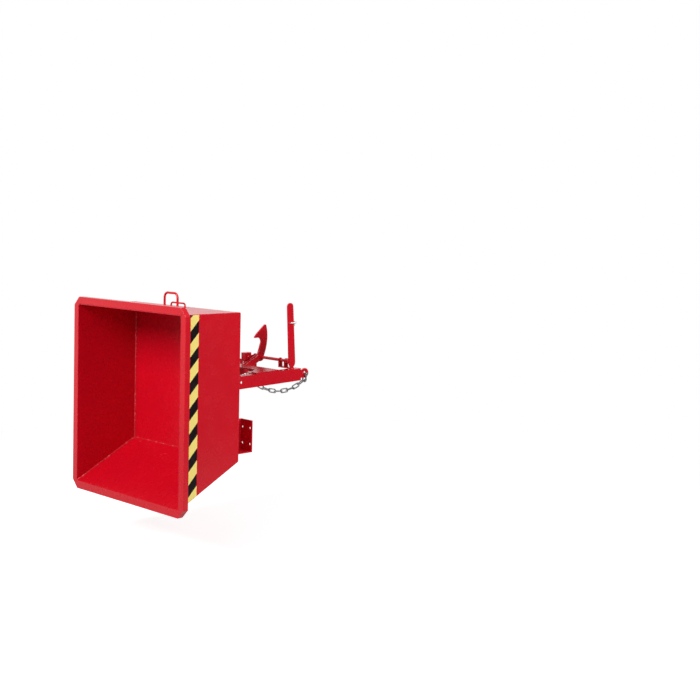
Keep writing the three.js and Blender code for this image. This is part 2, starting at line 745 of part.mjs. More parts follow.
function makeRelease() {
  const shaftEnd = armOffset + armPlate + 2 * gap;
  const bar = plateXZ(disc(shaft.x, shaft.z, shaftBar / 2), -shaftEnd, leverOffset + leverPlate + gap);
  add(hopper, 'release_shaft', bar, finishes.red);
  add(hopper, 'release_hook', makeHook(), finishes.red);
  add(hopper, 'release_lever', makeLever(), finishes.red);

  const blockX = shaft.x + blockAhead;
  const blockZ = shaft.z;
  const bolt = boltBar / 2;
  const armLimits = [-armOffset - armPlate, -armOffset];
  const armBar = block(shaft.x, blockX + blockLength / 3, ...armLimits, blockZ - armWidth / 2, blockZ + armWidth / 2);
  const armEyePlate = plateXZ(disc(shaft.x, shaft.z, armEye / 2), ...armLimits);
  const blockInner = -armOffset - armPlate - gap;
  const blockOuter = blockInner - blockWidth;
  const boltHole = plateXZ(disc(blockX, blockZ, bolt + boreGap), blockOuter - overrun, -armOffset + overrun);
  const arm = cut(join(armBar, armEyePlate), boltHole, shaftHole(armLimits));
  add(hopper, 'counterweight_arm', arm, finishes.red);
  const halfLength = blockLength / 2;
  const [low, high] = [blockZ - blockHeight / 2, blockZ + blockHeight / 2];
  const weight = block(blockX - halfLength, blockX + halfLength, blockOuter, blockInner, low, high);
  add(hopper, 'counterweight_block', cut(weight, boltHole), finishes.red);
  const headIn = -armOffset + gap;
  const nutOut = blockOuter - gap - boltHeadDepth;
  const hexagon = disc(blockX, blockZ, boltHeadWidth / 2, 6);
  const shank = plateXZ(disc(blockX, blockZ, bolt), nutOut - boltTail, headIn + boltHeadDepth);
  const head = plateXZ(hexagon, headIn, headIn + boltHeadDepth);
  const nut = plateXZ(hexagon, nutOut, nutOut + boltHeadDepth);
  add(hopper, 'counterweight_bolt', join(shank, head, nut), finishes.red);

  bothSides(hopper, 'hook_cheek', makeCheek, finishes.red);
  add(hopper, 'shaft_bracket', makeBracket(), finishes.red);
  const stopTop = low - gap;
  const stopFront = blockX + halfLength;
  const stopInner = -(hookPlate / 2 + 2 * runGap + cheekPlate + gap);
  const stopLimits = [stopInner - stopReach, stopInner];
  const shelf = block(stopFront - stopLength, stopFront, ...stopLimits, stopTop - stopPlate, stopTop);
  const leg = block(stopFront - stopPlate, stopFront, ...stopLimits, stopTop - stopDrop, stopTop);
  add(hopper, 'counterweight_stop', join(shelf, leg), finishes.red);
}

// Points of a closed chain link round its own middle, in its long and its wide direction
function linkPoints() {
  const radius = (linkInside + linkBar) / 2;
  const straight = (linkPitch + linkBar) / 2 - radius;
  const points = [];
  for (const end of [1, -1]) {
    for (let k = 0; k <= linkArcSteps; k += 1) {
      const angle = -Math.PI / 2 + (k / linkArcSteps) * Math.PI;
      points.push(point(end * (straight + radius * Math.cos(angle)), end * radius * Math.sin(angle)));
    }
  }
  return points;
}

// Each link hangs in the one before it, and the chain's angle changes evenly from link to link
function chainPlaces(start, endAngle) {
  const half = (linkPitch + linkBar) / 2;
  const angles = Array.from({ length: linkCount }, (_, i) => endAngle * ((2 * i) / (linkCount - 1) - 1));
  const heading = (angle) => point(-Math.cos(angle), Math.sin(angle));
  const places = [];
  let at = start.clone().addScaledVector(heading(angles[0]), half);
  for (let i = 0; i < linkCount; i += 1) {
    places.push({ at: at.clone(), heading: heading(angles[i]) });
    if (i === linkCount - 1) break;
    const [here, next] = [heading(angles[i]), heading(angles[i + 1])];
    const middle = here.clone().add(next).normalize();
    at = at.addScaledVector(here, half).addScaledVector(next, half).addScaledVector(middle, -linkBar - gap);
  }
  const last = places[linkCount - 1];
  return { places, end: last.at.clone().addScaledVector(last.heading, half) };
}

function makeChain() {
  const eyeX = -railBack - lugTailBack;
  const eyeZ = (railTop + railBottom) / 2 + lugTailRise;
  const lugY = innerSeat - gap - lugTailPlate / 2;
  const holeLow = eyeZ - lugTailHole / 2;

  // shackle: a bow hanging from a pin that lies in the left lug's hole
  const pinZ = holeLow + shacklePin / 2 + gap;
  const legY = (shackleJaw + shackleBar) / 2;
  const bowZ = pinZ - shackleLeg;
  const bow = [point(lugY + legY, pinZ)];
  for (let k = 0; k <= 2 * bendSteps; k += 1) {
    const angle = (-k / (2 * bendSteps)) * Math.PI;
    bow.push(point(lugY + legY * Math.cos(angle), bowZ + legY * Math.sin(angle)));
  }
  bow.push(point(lugY - legY, pinZ));
  const bowBar = roundBar(bow.map((p) => new THREE.Vector3(eyeX, p.x, p.y)), shackleBar, roundSides / 2);
  const eyes = [1, -1].map((side) => {
    const middle = lugY + side * legY;
    return plateXZ(disc(eyeX, pinZ, shackleEye / 2), middle - shackleBar / 2, middle + shackleBar / 2);
  });
  const ends = legY + shackleBar / 2;
  const pinSpace = plateXZ(disc(eyeX, pinZ, shacklePin / 2 + boreGap), lugY - ends - overrun, lugY + ends + overrun);
  add(hopper, 'shackle_bow', cut(join(bowBar, ...eyes), pinSpace), finishes.zinc);
  const headY = lugY + ends + gap;
  const pinBar = plateXZ(disc(eyeX, pinZ, shacklePin / 2), lugY - ends - boltTail, headY + shackleHeadDepth);
  const pinHead = plateXZ(disc(eyeX, pinZ, shackleHead / 2), headY, headY + shackleHeadDepth);
  add(hopper, 'shackle_pin', join(pinBar, pinHead), finishes.zinc);

  // end hook: bent bar over the right lug's hole, with a lower bend for the last link
  const bend = (hookInside + hookBar) / 2;
  const upperZ = holeLow + gap - Math.sqrt((hookInside / 2) ** 2 - (lugTailPlate / 2) ** 2);
  const innerY = -lugY + bend;
  const pull = legY - (shackleBar + linkBar) / 2 - gap;
  const rest = bend - (hookBar + linkBar) / 2 - gap;

  // the chain's end angle is found so that it just spans from the shackle to the hook
  const startAt = (angle) => point(lugY - pull * Math.cos(angle), bowZ - pull * Math.sin(angle));
  const goal = (angle) => innerY + bend + rest * Math.cos(angle);
  let [flat, steep] = [0, Math.PI / 2];
  for (let i = 0; i < 40; i += 1) {
    const angle = (flat + steep) / 2;
    if (chainPlaces(startAt(angle), angle).end.x < goal(angle)) flat = angle;
    else steep = angle;
  }
  const start = startAt(flat);
  const { places, end } = chainPlaces(start, flat);
  const lowerZ = end.y + rest * Math.sin(flat);
  const hookLine = [point(-lugY - bend, upperZ - hookTip)];
  for (let k = 0; k <= 2 * bendSteps; k += 1) {
    const angle = Math.PI - (k / (2 * bendSteps)) * Math.PI;
    hookLine.push(point(-lugY + bend * Math.cos(angle), upperZ + bend * Math.sin(angle)));
  }
  for (let k = 0; k <= 2 * bendSteps; k += 1) {
    const angle = Math.PI + (k / (2 * bendSteps)) * Math.PI;
    hookLine.push(point(innerY + bend + bend * Math.cos(angle), lowerZ + bend * Math.sin(angle)));
  }
  const hook = roundBar(hookLine.map((p) => new THREE.Vector3(eyeX, p.x, p.y)), hookBar, roundSides / 2);
  add(hopper, 'chain_hook', hook, finishes.zinc);

  const outline = linkPoints();
  places.forEach(({ at, heading }, i) => {
    const long = new THREE.Vector3(0, heading.x, heading.y);
    const across = new THREE.Vector3(1, 0, 0);
    const upright = new THREE.Vector3().crossVectors(long, across);
    const wide = i % 2 === 0 ? across : upright;
    const middle = new THREE.Vector3(eyeX, at.x, at.y);
    const points = outline.map((p) => middle.clone().addScaledVector(long, p.x).addScaledVector(wide, p.y));
    const route = new Route(points, true);
    const link = new THREE.TubeGeometry(route, route.steps, linkBar / 2, linkSides, true);
    add(hopper, `chain_link_${String(i + 1).padStart(2, '0')}`, link, finishes.zinc);
  });
}

// The hank lies in a plane of its own: four layers of loops that spiral in and out again. Each loop has two
// straight runs and two round folds and is drawn in at the waist. The climb to the next layer lies along the
// run where the spiral reverses.
function hankPoints() {
  const [foldSteps, runSteps] = [loopSteps / 3, loopSteps / 6];
  const pitchAcross = hankPitch / (1 - hankWaistShare);
  const layerSteps = hankTurnsPerLayer * loopSteps;
  const points = [];
  for (let i = -runSteps / 2; i <= hankLayers * layerSteps + runSteps / 2; i += 1) {
    const layer = Math.min(Math.max(Math.floor(i / layerSteps), 0), hankLayers - 1);
    const inLayer = (i - layer * layerSteps) / loopSteps;
    const outwards = layer % 2 === 0 ? hankTurnsPerLayer - inLayer : inLayer;
    const radius = hankFold + pitchAcross * outwards;
    const nearest = Math.round(i / layerSteps);
    const climb = Math.min(Math.max((i - nearest * layerSteps) / runSteps, -0.5), 0.5) + 0.5;
    const reverses = nearest > 0 && nearest < hankLayers;
    const depth = reverses ? hankPitch * (nearest - 1 + climb) : hankPitch * layer;
    const step = (i + runSteps / 2 + loopSteps) % loopSteps;
    const secondHalf = step >= loopSteps / 2;
    const inHalf = step % (loopSteps / 2);
    let [across, up] = [radius, hankRun / 2 - (hankRun * inHalf) / runSteps];
    if (inHalf > runSteps) {
      const angle = (Math.PI * (inHalf - runSteps)) / foldSteps;
      [across, up] = [radius * Math.cos(angle), -hankRun / 2 - radius * Math.sin(angle)];
    }
    const waist = Math.max(0, 1 - (up / (hankRun / 2)) ** 2);
    across *= 1 - hankWaistShare * waist;
    const side = secondHalf ? -1 : 1;
    points.push(new THREE.Vector3(side * across, depth - (hankPitch * (hankLayers - 1)) / 2, side * up));
  }
  return points;
}

function leastGap(points, diameter, skip) {
  let least = Infinity;
  for (let i = 0; i < points.length; i += 1) {
    for (let k = i + skip; k < points.length; k += 1) {
      least = Math.min(least, points[i].distanceTo(points[k]) - diameter);
    }
  }
  return least;
}

function routeLength(points) {
  return points.slice(1).reduce((sum, p, i) => sum + p.distanceTo(points[i]), 0);
}

function makeRope() {
  // a loop through the lever's hole and round its rear edge, pulled against the hole and closed by a knot
  const hole = new THREE.Vector3(shaft.x, leverOffset + leverPlate / 2, shaft.z + ropeHoleAbove);
  const loopInside = ropeTieBend - rope / 2 - gap;
  const loopX = hole.x - ropeHole / 2 - Math.sqrt(loopInside ** 2 - (leverPlate / 2) ** 2);
  const loop = new THREE.TorusGeometry(ropeTieBend, rope / 2, ropeSides, ropeTieSteps);
  loop.translate(loopX, hole.y, hole.z);
  const knot = new THREE.SphereGeometry(knotWide / 2, knotSegments, knotSegments / 2);
  knot.scale(knotLong / knotWide, 1, 1);
  knot.translate(loopX - ropeTieBend, hole.y, hole.z);
  add(hopper, 'rope_knot', join(loop, knot), finishes.rope);

  // from the knot down to the hank
  const run = new THREE.CatmullRomCurve3(ropeRunRoute.map(([x, y, z]) => new THREE.Vector3(x, y, z)));
  const runPoints = run.getSpacedPoints(ropeRunSteps);
  add(hopper, 'rope_run', roundBar(runPoints, rope, ropeSides), finishes.rope);

  // the hank, with a knot at the rope's end
  const middle = new THREE.Vector3(hole.x - hankBack, hole.y - hankInboard, hole.z - hankDrop);
  const turn = new THREE.Vector3(0, 0, 1);
  const loops = hankPoints().map((p) => p.applyAxisAngle(turn, hankAngle).add(middle));
  const [last, before] = [loops[loops.length - 1], loops[loops.length - 2]];
  const tail = last.clone().sub(before).setLength(endKnot / 3).add(last);
  const stopper = new THREE.SphereGeometry(endKnot / 2, knotSegments, knotSegments / 2);
  stopper.translate(tail.x, tail.y, tail.z);
  add(hopper, 'rope_hank', join(roundBar(loops, rope, loopSides), stopper), finishes.rope);

  const length = routeLength(loops) + routeLength(runPoints) + 2 * Math.PI * ropeTieBend;
  console.log(`rope hank: least gap to itself ${leastGap(loops, rope, loopSteps / 2).toFixed(2)} mm`);
  console.log(`rope: ${length.toFixed(0)} mm long, hank starts at ${loops[0].toArray().map((v) => v.toFixed(1))}`);
}

makeBucket();
makeFrame();
makeRelease();
makeChain();
makeRope();

export default hopper;
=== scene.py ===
"""Looks of a self dumping hopper: red enamelled bucket and frame, zinc plated chain and white rope.

Lengths are metres in the part's own frame: x is the way the bucket tips, y its left side and z up. The
bucket is shown tipped against its stop.
"""

import json
import math

import bmesh
import bpy
import numpy as np
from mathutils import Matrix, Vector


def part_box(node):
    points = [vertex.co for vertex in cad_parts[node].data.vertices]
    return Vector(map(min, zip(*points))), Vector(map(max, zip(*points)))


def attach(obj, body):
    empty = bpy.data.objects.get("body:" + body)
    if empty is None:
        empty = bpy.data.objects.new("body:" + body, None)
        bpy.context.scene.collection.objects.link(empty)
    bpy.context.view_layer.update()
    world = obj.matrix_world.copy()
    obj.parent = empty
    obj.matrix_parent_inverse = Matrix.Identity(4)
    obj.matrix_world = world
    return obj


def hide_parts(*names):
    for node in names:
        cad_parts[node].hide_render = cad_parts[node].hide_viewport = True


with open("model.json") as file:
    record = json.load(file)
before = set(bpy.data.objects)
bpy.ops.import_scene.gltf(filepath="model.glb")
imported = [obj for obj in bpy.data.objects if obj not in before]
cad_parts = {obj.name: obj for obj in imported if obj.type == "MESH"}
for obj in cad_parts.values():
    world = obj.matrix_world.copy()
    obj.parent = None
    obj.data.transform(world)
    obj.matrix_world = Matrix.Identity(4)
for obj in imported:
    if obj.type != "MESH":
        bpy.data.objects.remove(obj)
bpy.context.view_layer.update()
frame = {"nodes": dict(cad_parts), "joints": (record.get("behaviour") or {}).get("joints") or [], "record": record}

bl_info = {
    "name": "Self dumping hopper",
    "version": (1, 0, 0),
    "blender": (4, 5, 0),
    "location": "3D View > Sidebar > Hopper",
    "description": "Builds the finished surfaces of a tipping bucket on its carrying frame",
    "category": "Add Mesh",
}

MM = 0.001
SIDES = (("left", 1), ("right", -1))
JOINTS = {joint["name"]: joint for joint in frame["joints"]}
HINGE = np.array(JOINTS["bucket_tip"]["pos_m"])
TIPPED = math.radians(-JOINTS["bucket_tip"]["range_deg"][0])
SHAFT = np.array(JOINTS["release_pull"]["pos_m"])
BODIES = frame["record"]["behaviour"]["bodies"]
SLOT_OF = {part["node"]: part["material_slot"] for part in frame["record"]["subparts"]}
BODY_OF = {node: body for body, nodes in BODIES.items() for node in nodes}

# Bucket, measured level and from the hinge, in millimetres
REAR, FLOOR, MOUTH = -371, 57, 422
FLOOR_FRONT, MOUTH_FRONT = 367, 557
WALL_OUT, SHEET, FOLD, RIM_LOW = 434, 3, 7, 392
# the steps of the arc at each fold
FOLD_STEPS = 14
# what is left open between pieces that are welded together
GAP = 0.3
# name, bar, reach, span, height over the floor, bend
WALL_LOOPS = (("catch_loop", 12, 79, 120, 97, 26), ("lashing_loop", 9, 25, 125, 52, 13))


def linear(text):
    """An sRGB hex colour as linear red, green, blue and alpha."""
    share = np.array([int(text[i : i + 2], 16) / 255 for i in (1, 3, 5)])
    colour = np.where(share <= 0.04045, share / 12.92, ((share + 0.055) / 1.055) ** 2.4)
    return (*colour.tolist(), 1.0)


# Shapes


def rounded_line(corners, radius, steps):
    """A line through corners in a plane, each inner corner replaced by an arc of the radius: the arc
    starts where the two sides touch its circle and turns about the circle's centre by equal steps."""
    corners = np.asarray(corners, float)
    back = corners[:-2] - corners[1:-1]
    ahead = corners[2:] - corners[1:-1]
    back /= np.linalg.norm(back, axis=1, keepdims=True)
    ahead /= np.linalg.norm(ahead, axis=1, keepdims=True)
    turn = np.pi - np.arccos(np.clip((back * ahead).sum(1), -1, 1))
    middle = back + ahead
    middle /= np.linalg.norm(middle, axis=1, keepdims=True)
    centre = corners[1:-1] + middle * (radius / np.cos(turn / 2))[:, None]
    start = corners[1:-1] + back * (radius * np.tan(turn / 2))[:, None] - centre
    side = -np.sign(back[:, 0] * ahead[:, 1] - back[:, 1] * ahead[:, 0])
    angle = (side * turn)[:, None] * np.linspace(0, 1, steps + 1)
    cos, sin = np.cos(angle), np.sin(angle)
    arc = np.stack(
        [start[:, :1] * cos - start[:, 1:] * sin, start[:, :1] * sin + start[:, 1:] * cos],
        -1,
    )
    return np.concatenate([corners[:1], (arc + centre[:, None]).reshape(-1, 2), corners[-1:]])


def circle(radius, sides):
    """Points of a circle at equal angles."""
    angle = np.arange(sides) / sides * 2 * np.pi
    return np.stack([radius * np.cos(angle), radius * np.sin(angle)], -1)


def distances(path):
    """How far along a path each of its points lies."""
    return np.concatenate([[0], np.cumsum(np.linalg.norm(np.diff(path, axis=0), axis=1))])


def evenly(path, step):
    """Points along a path at equal distances of about one step."""
    path = np.asarray(path, float)
    along = distances(path)
    goal = np.linspace(0, along[-1], max(2, round(along[-1] / step) + 1))
    return np.stack([np.interp(goal, along, path[:, i]) for i in range(3)], -1)


def carry(path, section, upright, closed=False, swell=1.0):
    """A profile carried along a path: each ring is the path's point plus the section's two numbers times
    two directions square to the path there, the second of them as near to the upright direction as it can
    be. The swell makes each ring larger or smaller."""
    path = np.asarray(path, float)
    ahead = np.roll(path, -1, 0) - np.roll(path, 1, 0)
    if not closed:
        ahead[0], ahead[-1] = path[1] - path[0], path[-1] - path[-2]
    ahead /= np.linalg.norm(ahead, axis=1, keepdims=True)
    upright = np.broadcast_to(np.asarray(upright, float), path.shape)
    up = upright - ahead * (upright * ahead).sum(1, keepdims=True)
    up /= np.linalg.norm(up, axis=1, keepdims=True)
    side = np.cross(up, ahead)
    size = np.broadcast_to(np.asarray(swell, float), (len(path),))[:, None, None]
    section = np.asarray(section, float)
    across = section[None, :, :1] * side[:, None] + section[None, :, 1:] * up[:, None]
    return path[:, None] + size * across


def turned(profile, centre, axis, sides=32):
    """A profile of (distance along the axis, radius) turned about an axis through the centre."""
    axis = np.asarray(axis, float)
    first = np.cross(axis, (0, 0, 1) if abs(axis[2]) < 0.9 else (1, 0, 0))
    first /= np.linalg.norm(first)
    second = np.cross(axis, first)
    along, radius = np.asarray(profile, float).T
    angle = np.arange(sides) / sides * 2 * np.pi
    out = np.cos(angle)[:, None] * first + np.sin(angle)[:, None] * second
    return np.asarray(centre) + along[:, None, None] * axis + radius[:, None, None] * out[None]


def tipped(level):
    """Points measured level from the hinge, turned about it into the tipped pose."""
    level = np.asarray(level, float)
    cos, sin = math.cos(TIPPED), math.sin(TIPPED)
    x, y, z = level[..., 0], level[..., 1], level[..., 2]
    return HINGE + np.stack([x * cos + z * sin, y, z * cos - x * sin], -1)


def reshape(piece, move):
    """Moves a piece's points, all at once, to where a function of them says."""
    points = np.empty(len(piece.data.vertices) * 3, np.float32)
    piece.data.vertices.foreach_get("co", points)
    points = move(points.reshape(-1, 3).astype(float))
    piece.data.vertices.foreach_set("co", points.ravel().astype(np.float32))
    piece.data.update()


def show(name, data):
    """A new object in the scene."""
    thing = bpy.data.objects.new(name, data)
    bpy.context.scene.collection.objects.link(thing)
    return thing


def shell(grid, closed=False):
    """Points and faces of a grid whose columns run round: a face between each four neighbours, and one
    over each end unless the rows meet."""
    rows, columns = grid.shape[:2]
    index = np.arange(rows * columns).reshape(rows, columns)
    here = index if closed else index[:-1]
    there = np.roll(index, -1, 0) if closed else index[1:]
    quads = np.stack([here, np.roll(here, -1, 1), np.roll(there, -1, 1), there], -1)
    faces = quads.reshape(-1, 4).tolist()
    if not closed:
        faces += [index[0][::-1].tolist(), index[-1].tolist()]
    return grid.reshape(-1, 3), faces


def finish_piece(piece, nodes, body, slot, sharp):
    """Gives a piece its finish, smooth and sharp edges, its body and the CAD nodes that it replaces."""
    piece.data.materials.clear()
    piece.data.materials.append(bpy.data.materials[FINISH_OF[slot]])
    piece.data.shade_smooth()
    piece.data.set_sharp_from_angle(angle=math.radians(sharp))
    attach(piece, body)
    if nodes:
        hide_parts(*nodes)
    return piece


def build_piece(name, shells, nodes, body, slot, sharp=35):
    """One object from closed shells, its faces turned outwards."""
    counts = np.cumsum([0] + [len(points) for points, _ in shells])
    points = np.concatenate([points for points, _ in shells])
    faces = []
    for (_, part), first in zip(shells, counts.tolist()):
        faces += [[i + first for i in face] for face in part]
    mesh = bpy.data.meshes.new(name)
    mesh.from_pydata(points.tolist(), [], faces)
    work = bmesh.new()
    work.from_mesh(mesh)
    bmesh.ops.recalc_face_normals(work, faces=work.faces)
    work.to_mesh(mesh)
    work.free()
    return finish_piece(show(name, mesh), nodes, body, slot, sharp)


def eased_copy(node, radius, steps=3):
    """A copy of a CAD node as one clean plate or block with its edges rounded: doubles are merged, flat
    facets joined, and every edge sharper than 30 degrees gets an arc of the radius."""
    angle = 30
    mesh = frame["nodes"][node].data.copy()
    mesh.name = node + "_eased"
    work = bmesh.new()
    work.from_mesh(mesh)
    bmesh.ops.remove_doubles(work, verts=work.verts, dist=1e-5)
    bmesh.ops.dissolve_limit(work, angle_limit=math.radians(0.5), verts=work.verts, edges=work.edges)
    bmesh.ops.recalc_face_normals(work, faces=work.faces)
    work.to_mesh(mesh)
    work.free()
    piece = show(node + "_eased", mesh)
    finish_piece(piece, [node], BODY_OF[node], SLOT_OF[node], angle)
    rounding = piece.modifiers.new("Eased edges", "BEVEL")
    rounding.width = radius
    rounding.segments = steps
    rounding.limit_method = "ANGLE"
    rounding.angle_limit = math.radians(angle)
    rounding.miter_outer = "MITER_ARC"
    rounding.harden_normals = True
    return piece


# from one ripple of a weld to the next
RIPPLE = 2.6 * MM


def bead(path, radius, upright=(0, 0, 1), closed=False):
    """A weld bead: a half buried round section carried along the seam, its size rising and falling with
    each ripple of the molten pool and slowly over 17 mm each way, and narrowing at both ends."""
    path = np.asarray(path, float)
    if not closed:
        path = evenly(path, RIPPLE / 4)
    along = distances(path)
    swell = 1 + 0.13 * np.abs(np.sin(np.pi * along / RIPPLE)) + 0.05 * np.sin(along / (17 * MM))
    if not closed:
        swell *= np.clip(np.minimum(along, along[-1] - along) / (2 * radius) + 0.4, 0, 1)
    return shell(carry(path, circle(radius, 8), upright, closed, swell), closed)


def ring_bead(centre, axis, ring_radius, radius):
    """A weld bead round a bar: the same bead carried round a circle."""
    sides = max(24, int(2 * math.pi * ring_radius / (RIPPLE / 4)))
    ring = turned([(0, ring_radius)], centre, axis, sides)
    return bead(ring[0], radius, axis, closed=True)


# Finishes

# a number that goes from one range to another with a gentle start and end
SMOOTH = {"interpolation_type": "SMOOTHSTEP"}


def fill(tree, node, values):
    """Fills a node's properties and inputs, by name or number. An output is linked to the input, and so is
    a node by its first output. Anything else is the value of the property or input itself."""
    for name, value in values.items():
        if isinstance(value, bpy.types.Node):
            value = value.outputs[0]
        if isinstance(value, bpy.types.NodeSocket):
            tree.links.new(value, node.inputs[name])
        elif isinstance(name, int) or name in node.inputs:
            node.inputs[name].default_value = value
        else:
            setattr(node, name, value)


def add_node(tree, kind, values=()):
    """Adds a node with its settings and links."""
    node = tree.nodes.new(kind)
    fill(tree, node, dict(values))
    return node


def new_finish(name):
    """An empty material with its shader and the object's own coordinates."""
    material = bpy.data.materials.new(name)
    material.use_nodes = True
    tree = material.node_tree
    tree.nodes.clear()
    shader = add_node(tree, "ShaderNodeBsdfPrincipled")
    add_node(tree, "ShaderNodeOutputMaterial", {"Surface": shader})
    place = add_node(tree, "ShaderNodeTexCoord").outputs["Object"]
    return material, tree, shader, place


def patches(tree, place, wave, ends, values, detail=2.0, roughness=0.5):
    """Patches about as long as the wave, in metres: noise, of which what lies between the two ends is
    spread smoothly over the two values."""
    noise = add_node(
        tree,
        "ShaderNodeTexNoise",
        {"Vector": place, "Scale": 1 / wave, "Detail": detail, "Roughness": roughness},
    )
    ranges = {"From Min": ends[0], "From Max": ends[1], "To Min": values[0], "To Max": values[1]}
    return add_node(tree, "ShaderNodeMapRange", {**SMOOTH, "Value": noise, **ranges})


def grain(tree, place, wave, height, detail=2.0, strength=1.0, under=None):
    """Relief whose waves are about as long and as high as given, in metres: noise, laid over the relief
    under it where there is one."""
    noise = add_node(tree, "ShaderNodeTexNoise", {"Vector": place, "Scale": 1 / wave, "Detail": detail})
    values = {"Strength": strength, "Distance": height, "Height": noise}
    if under is not None:
        values["Normal"] = under
    return add_node(tree, "ShaderNodeBump", values)


def layered(tree, ground, layers):
    """A ground colour with others laid over it in turn, each as far as its factor says. A colour mix
    takes its two colours at inputs 6 and 7 and gives the result at output 2."""
    for factor, colour in layers:
        mix = add_node(tree, "ShaderNodeMix", {"data_type": "RGBA", 0: factor, 6: ground, 7: colour})
        ground = mix.outputs[2]
    return ground


def shaded(colour, factor):
    """A colour made lighter or darker by a factor."""
    return (*(min(1.0, part * factor) for part in colour[:3]), 1.0)


def edge_mask(tree, radius):
    """Where the surface turns sharply within the radius: one less how far the rounded normal agrees with
    the real one."""
    rounded = add_node(tree, "ShaderNodeBevel", {"samples": 4, "Radius": radius})
    real = add_node(tree, "ShaderNodeNewGeometry").outputs["Normal"]
    agree = add_node(tree, "ShaderNodeVectorMath", {"operation": "DOT_PRODUCT", 0: rounded, 1: real})
    return add_node(tree, "ShaderNodeMath", {"operation": "SUBTRACT", 0: 1.0, 1: agree.outputs["Value"]})


def red_enamel():
    """Glossy red enamel sprayed on sheet steel: a smooth film with a faint orange peel, long shallow
    waves from rolled and welded sheet, a painted highlight that makes the edges lighter, and a little
    workshop dust."""
    finish = bpy.context.scene.hopper_finishes
    base = tuple(finish.enamel)
    material, tree, shader, place = new_finish("Red enamel")
    # broad unevenness of the paint film, about 300 mm across
    film = patches(tree, place, 300 * MM, (0.3, 0.7), (0, 1), 3)
    # painted highlight: the edges are made lighter in colour, standing in for the light that they catch
    ranges = {"From Min": 0.02, "From Max": 0.25, "To Max": 0.35}
    edge_highlight = add_node(tree, "ShaderNodeMapRange", {**SMOOTH, "Value": edge_mask(tree, 2.5 * MM), **ranges})
    # fine specks of dust in the film, drawn at 4 mm so that they show
    specks = patches(tree, place, 4 * MM, (0.62, 0.8), (0, 0.03), 4, 0.7)
    layers = ((film, shaded(base, 1.02)), (edge_highlight, tuple(finish.enamel_edge_highlight)), (specks, shaded(base, 1.5)))
    colour = layered(tree, shaded(base, 0.975), layers)
    even = finish.enamel_roughness
    sheen = patches(tree, place, 60 * MM, (0.3, 0.7), (even - 0.02, even + 0.025), 3)
    # waves of the sheet, about 220 mm long and a fraction of a millimetre high
    waves = grain(tree, place, 220 * MM, 0.9 * MM, 1)
    # orange peel, about 3 mm from crest to crest
    peel = grain(tree, place, 3 * MM, finish.orange_peel, 1, under=waves)
    fill(tree, shader, {"Base Color": colour, "Roughness": sheen, "IOR": 1.5, "Normal": peel})
    return material


def welded_enamel():
    """The same enamel over weld beads, a little shinier, with pale patches that are painted glints of
    light on the ripples. The glints are drawn 16 mm apart, so that they show."""
    finish = bpy.context.scene.hopper_finishes
    material, tree, shader, place = new_finish("Red enamel on welds")
    # painted glints: pale patches on the beads stand in for light caught by the weld's ripples
    glints = patches(tree, place, 16 * MM, (0.52, 0.7), (0.08, 0.75), 3, 0.6)
    colour = layered(tree, tuple(finish.enamel), [(glints, tuple(finish.enamel_glint))])
    gloss = patches(tree, place, 5 * MM, (0.3, 0.7), (0.16, 0.3))
    fill(tree, shader, {"Base Color": colour, "Roughness": gloss, "IOR": 1.5})
    return material


def zinc():
    """Bright zinc plating on drawn steel wire and turned pins: cool grey metal, satin from the bath,
    slightly duller where it is handled."""
    base = tuple(bpy.context.scene.hopper_finishes.zinc)
    material, tree, shader, place = new_finish("Zinc plating")
    tone = patches(tree, place, 12 * MM, (0.3, 0.7), (0, 1), 4)
    colour = layered(tree, shaded(base, 0.8), [(tone, shaded(base, 1.12))])
    dull = patches(tree, place, 5 * MM, (0.3, 0.7), (0.26, 0.44), 3)
    drawn = grain(tree, place, 1.2 * MM, 0.05 * MM, strength=0.6)
    fill(tree, shader, {"Base Color": colour, "Roughness": dull, "Metallic": 1.0, "Normal": drawn})
    return material


def black_rubber():
    """Moulded black rubber: matt, with a fine moulded grain and grey dust on it."""
    base = tuple(bpy.context.scene.hopper_finishes.rubber)
    material, tree, shader, place = new_finish("Black rubber")
    dust = patches(tree, place, 20 * MM, (0.45, 0.75), (0, 0.35), 5, 0.7)
    colour = layered(tree, base, [(dust, shaded(base, 5))])
    moulded = grain(tree, place, 0.9 * MM, 0.15 * MM, strength=0.8)
    fill(tree, shader, {"Base Color": colour, "Roughness": 0.75, "Normal": moulded})
    return material


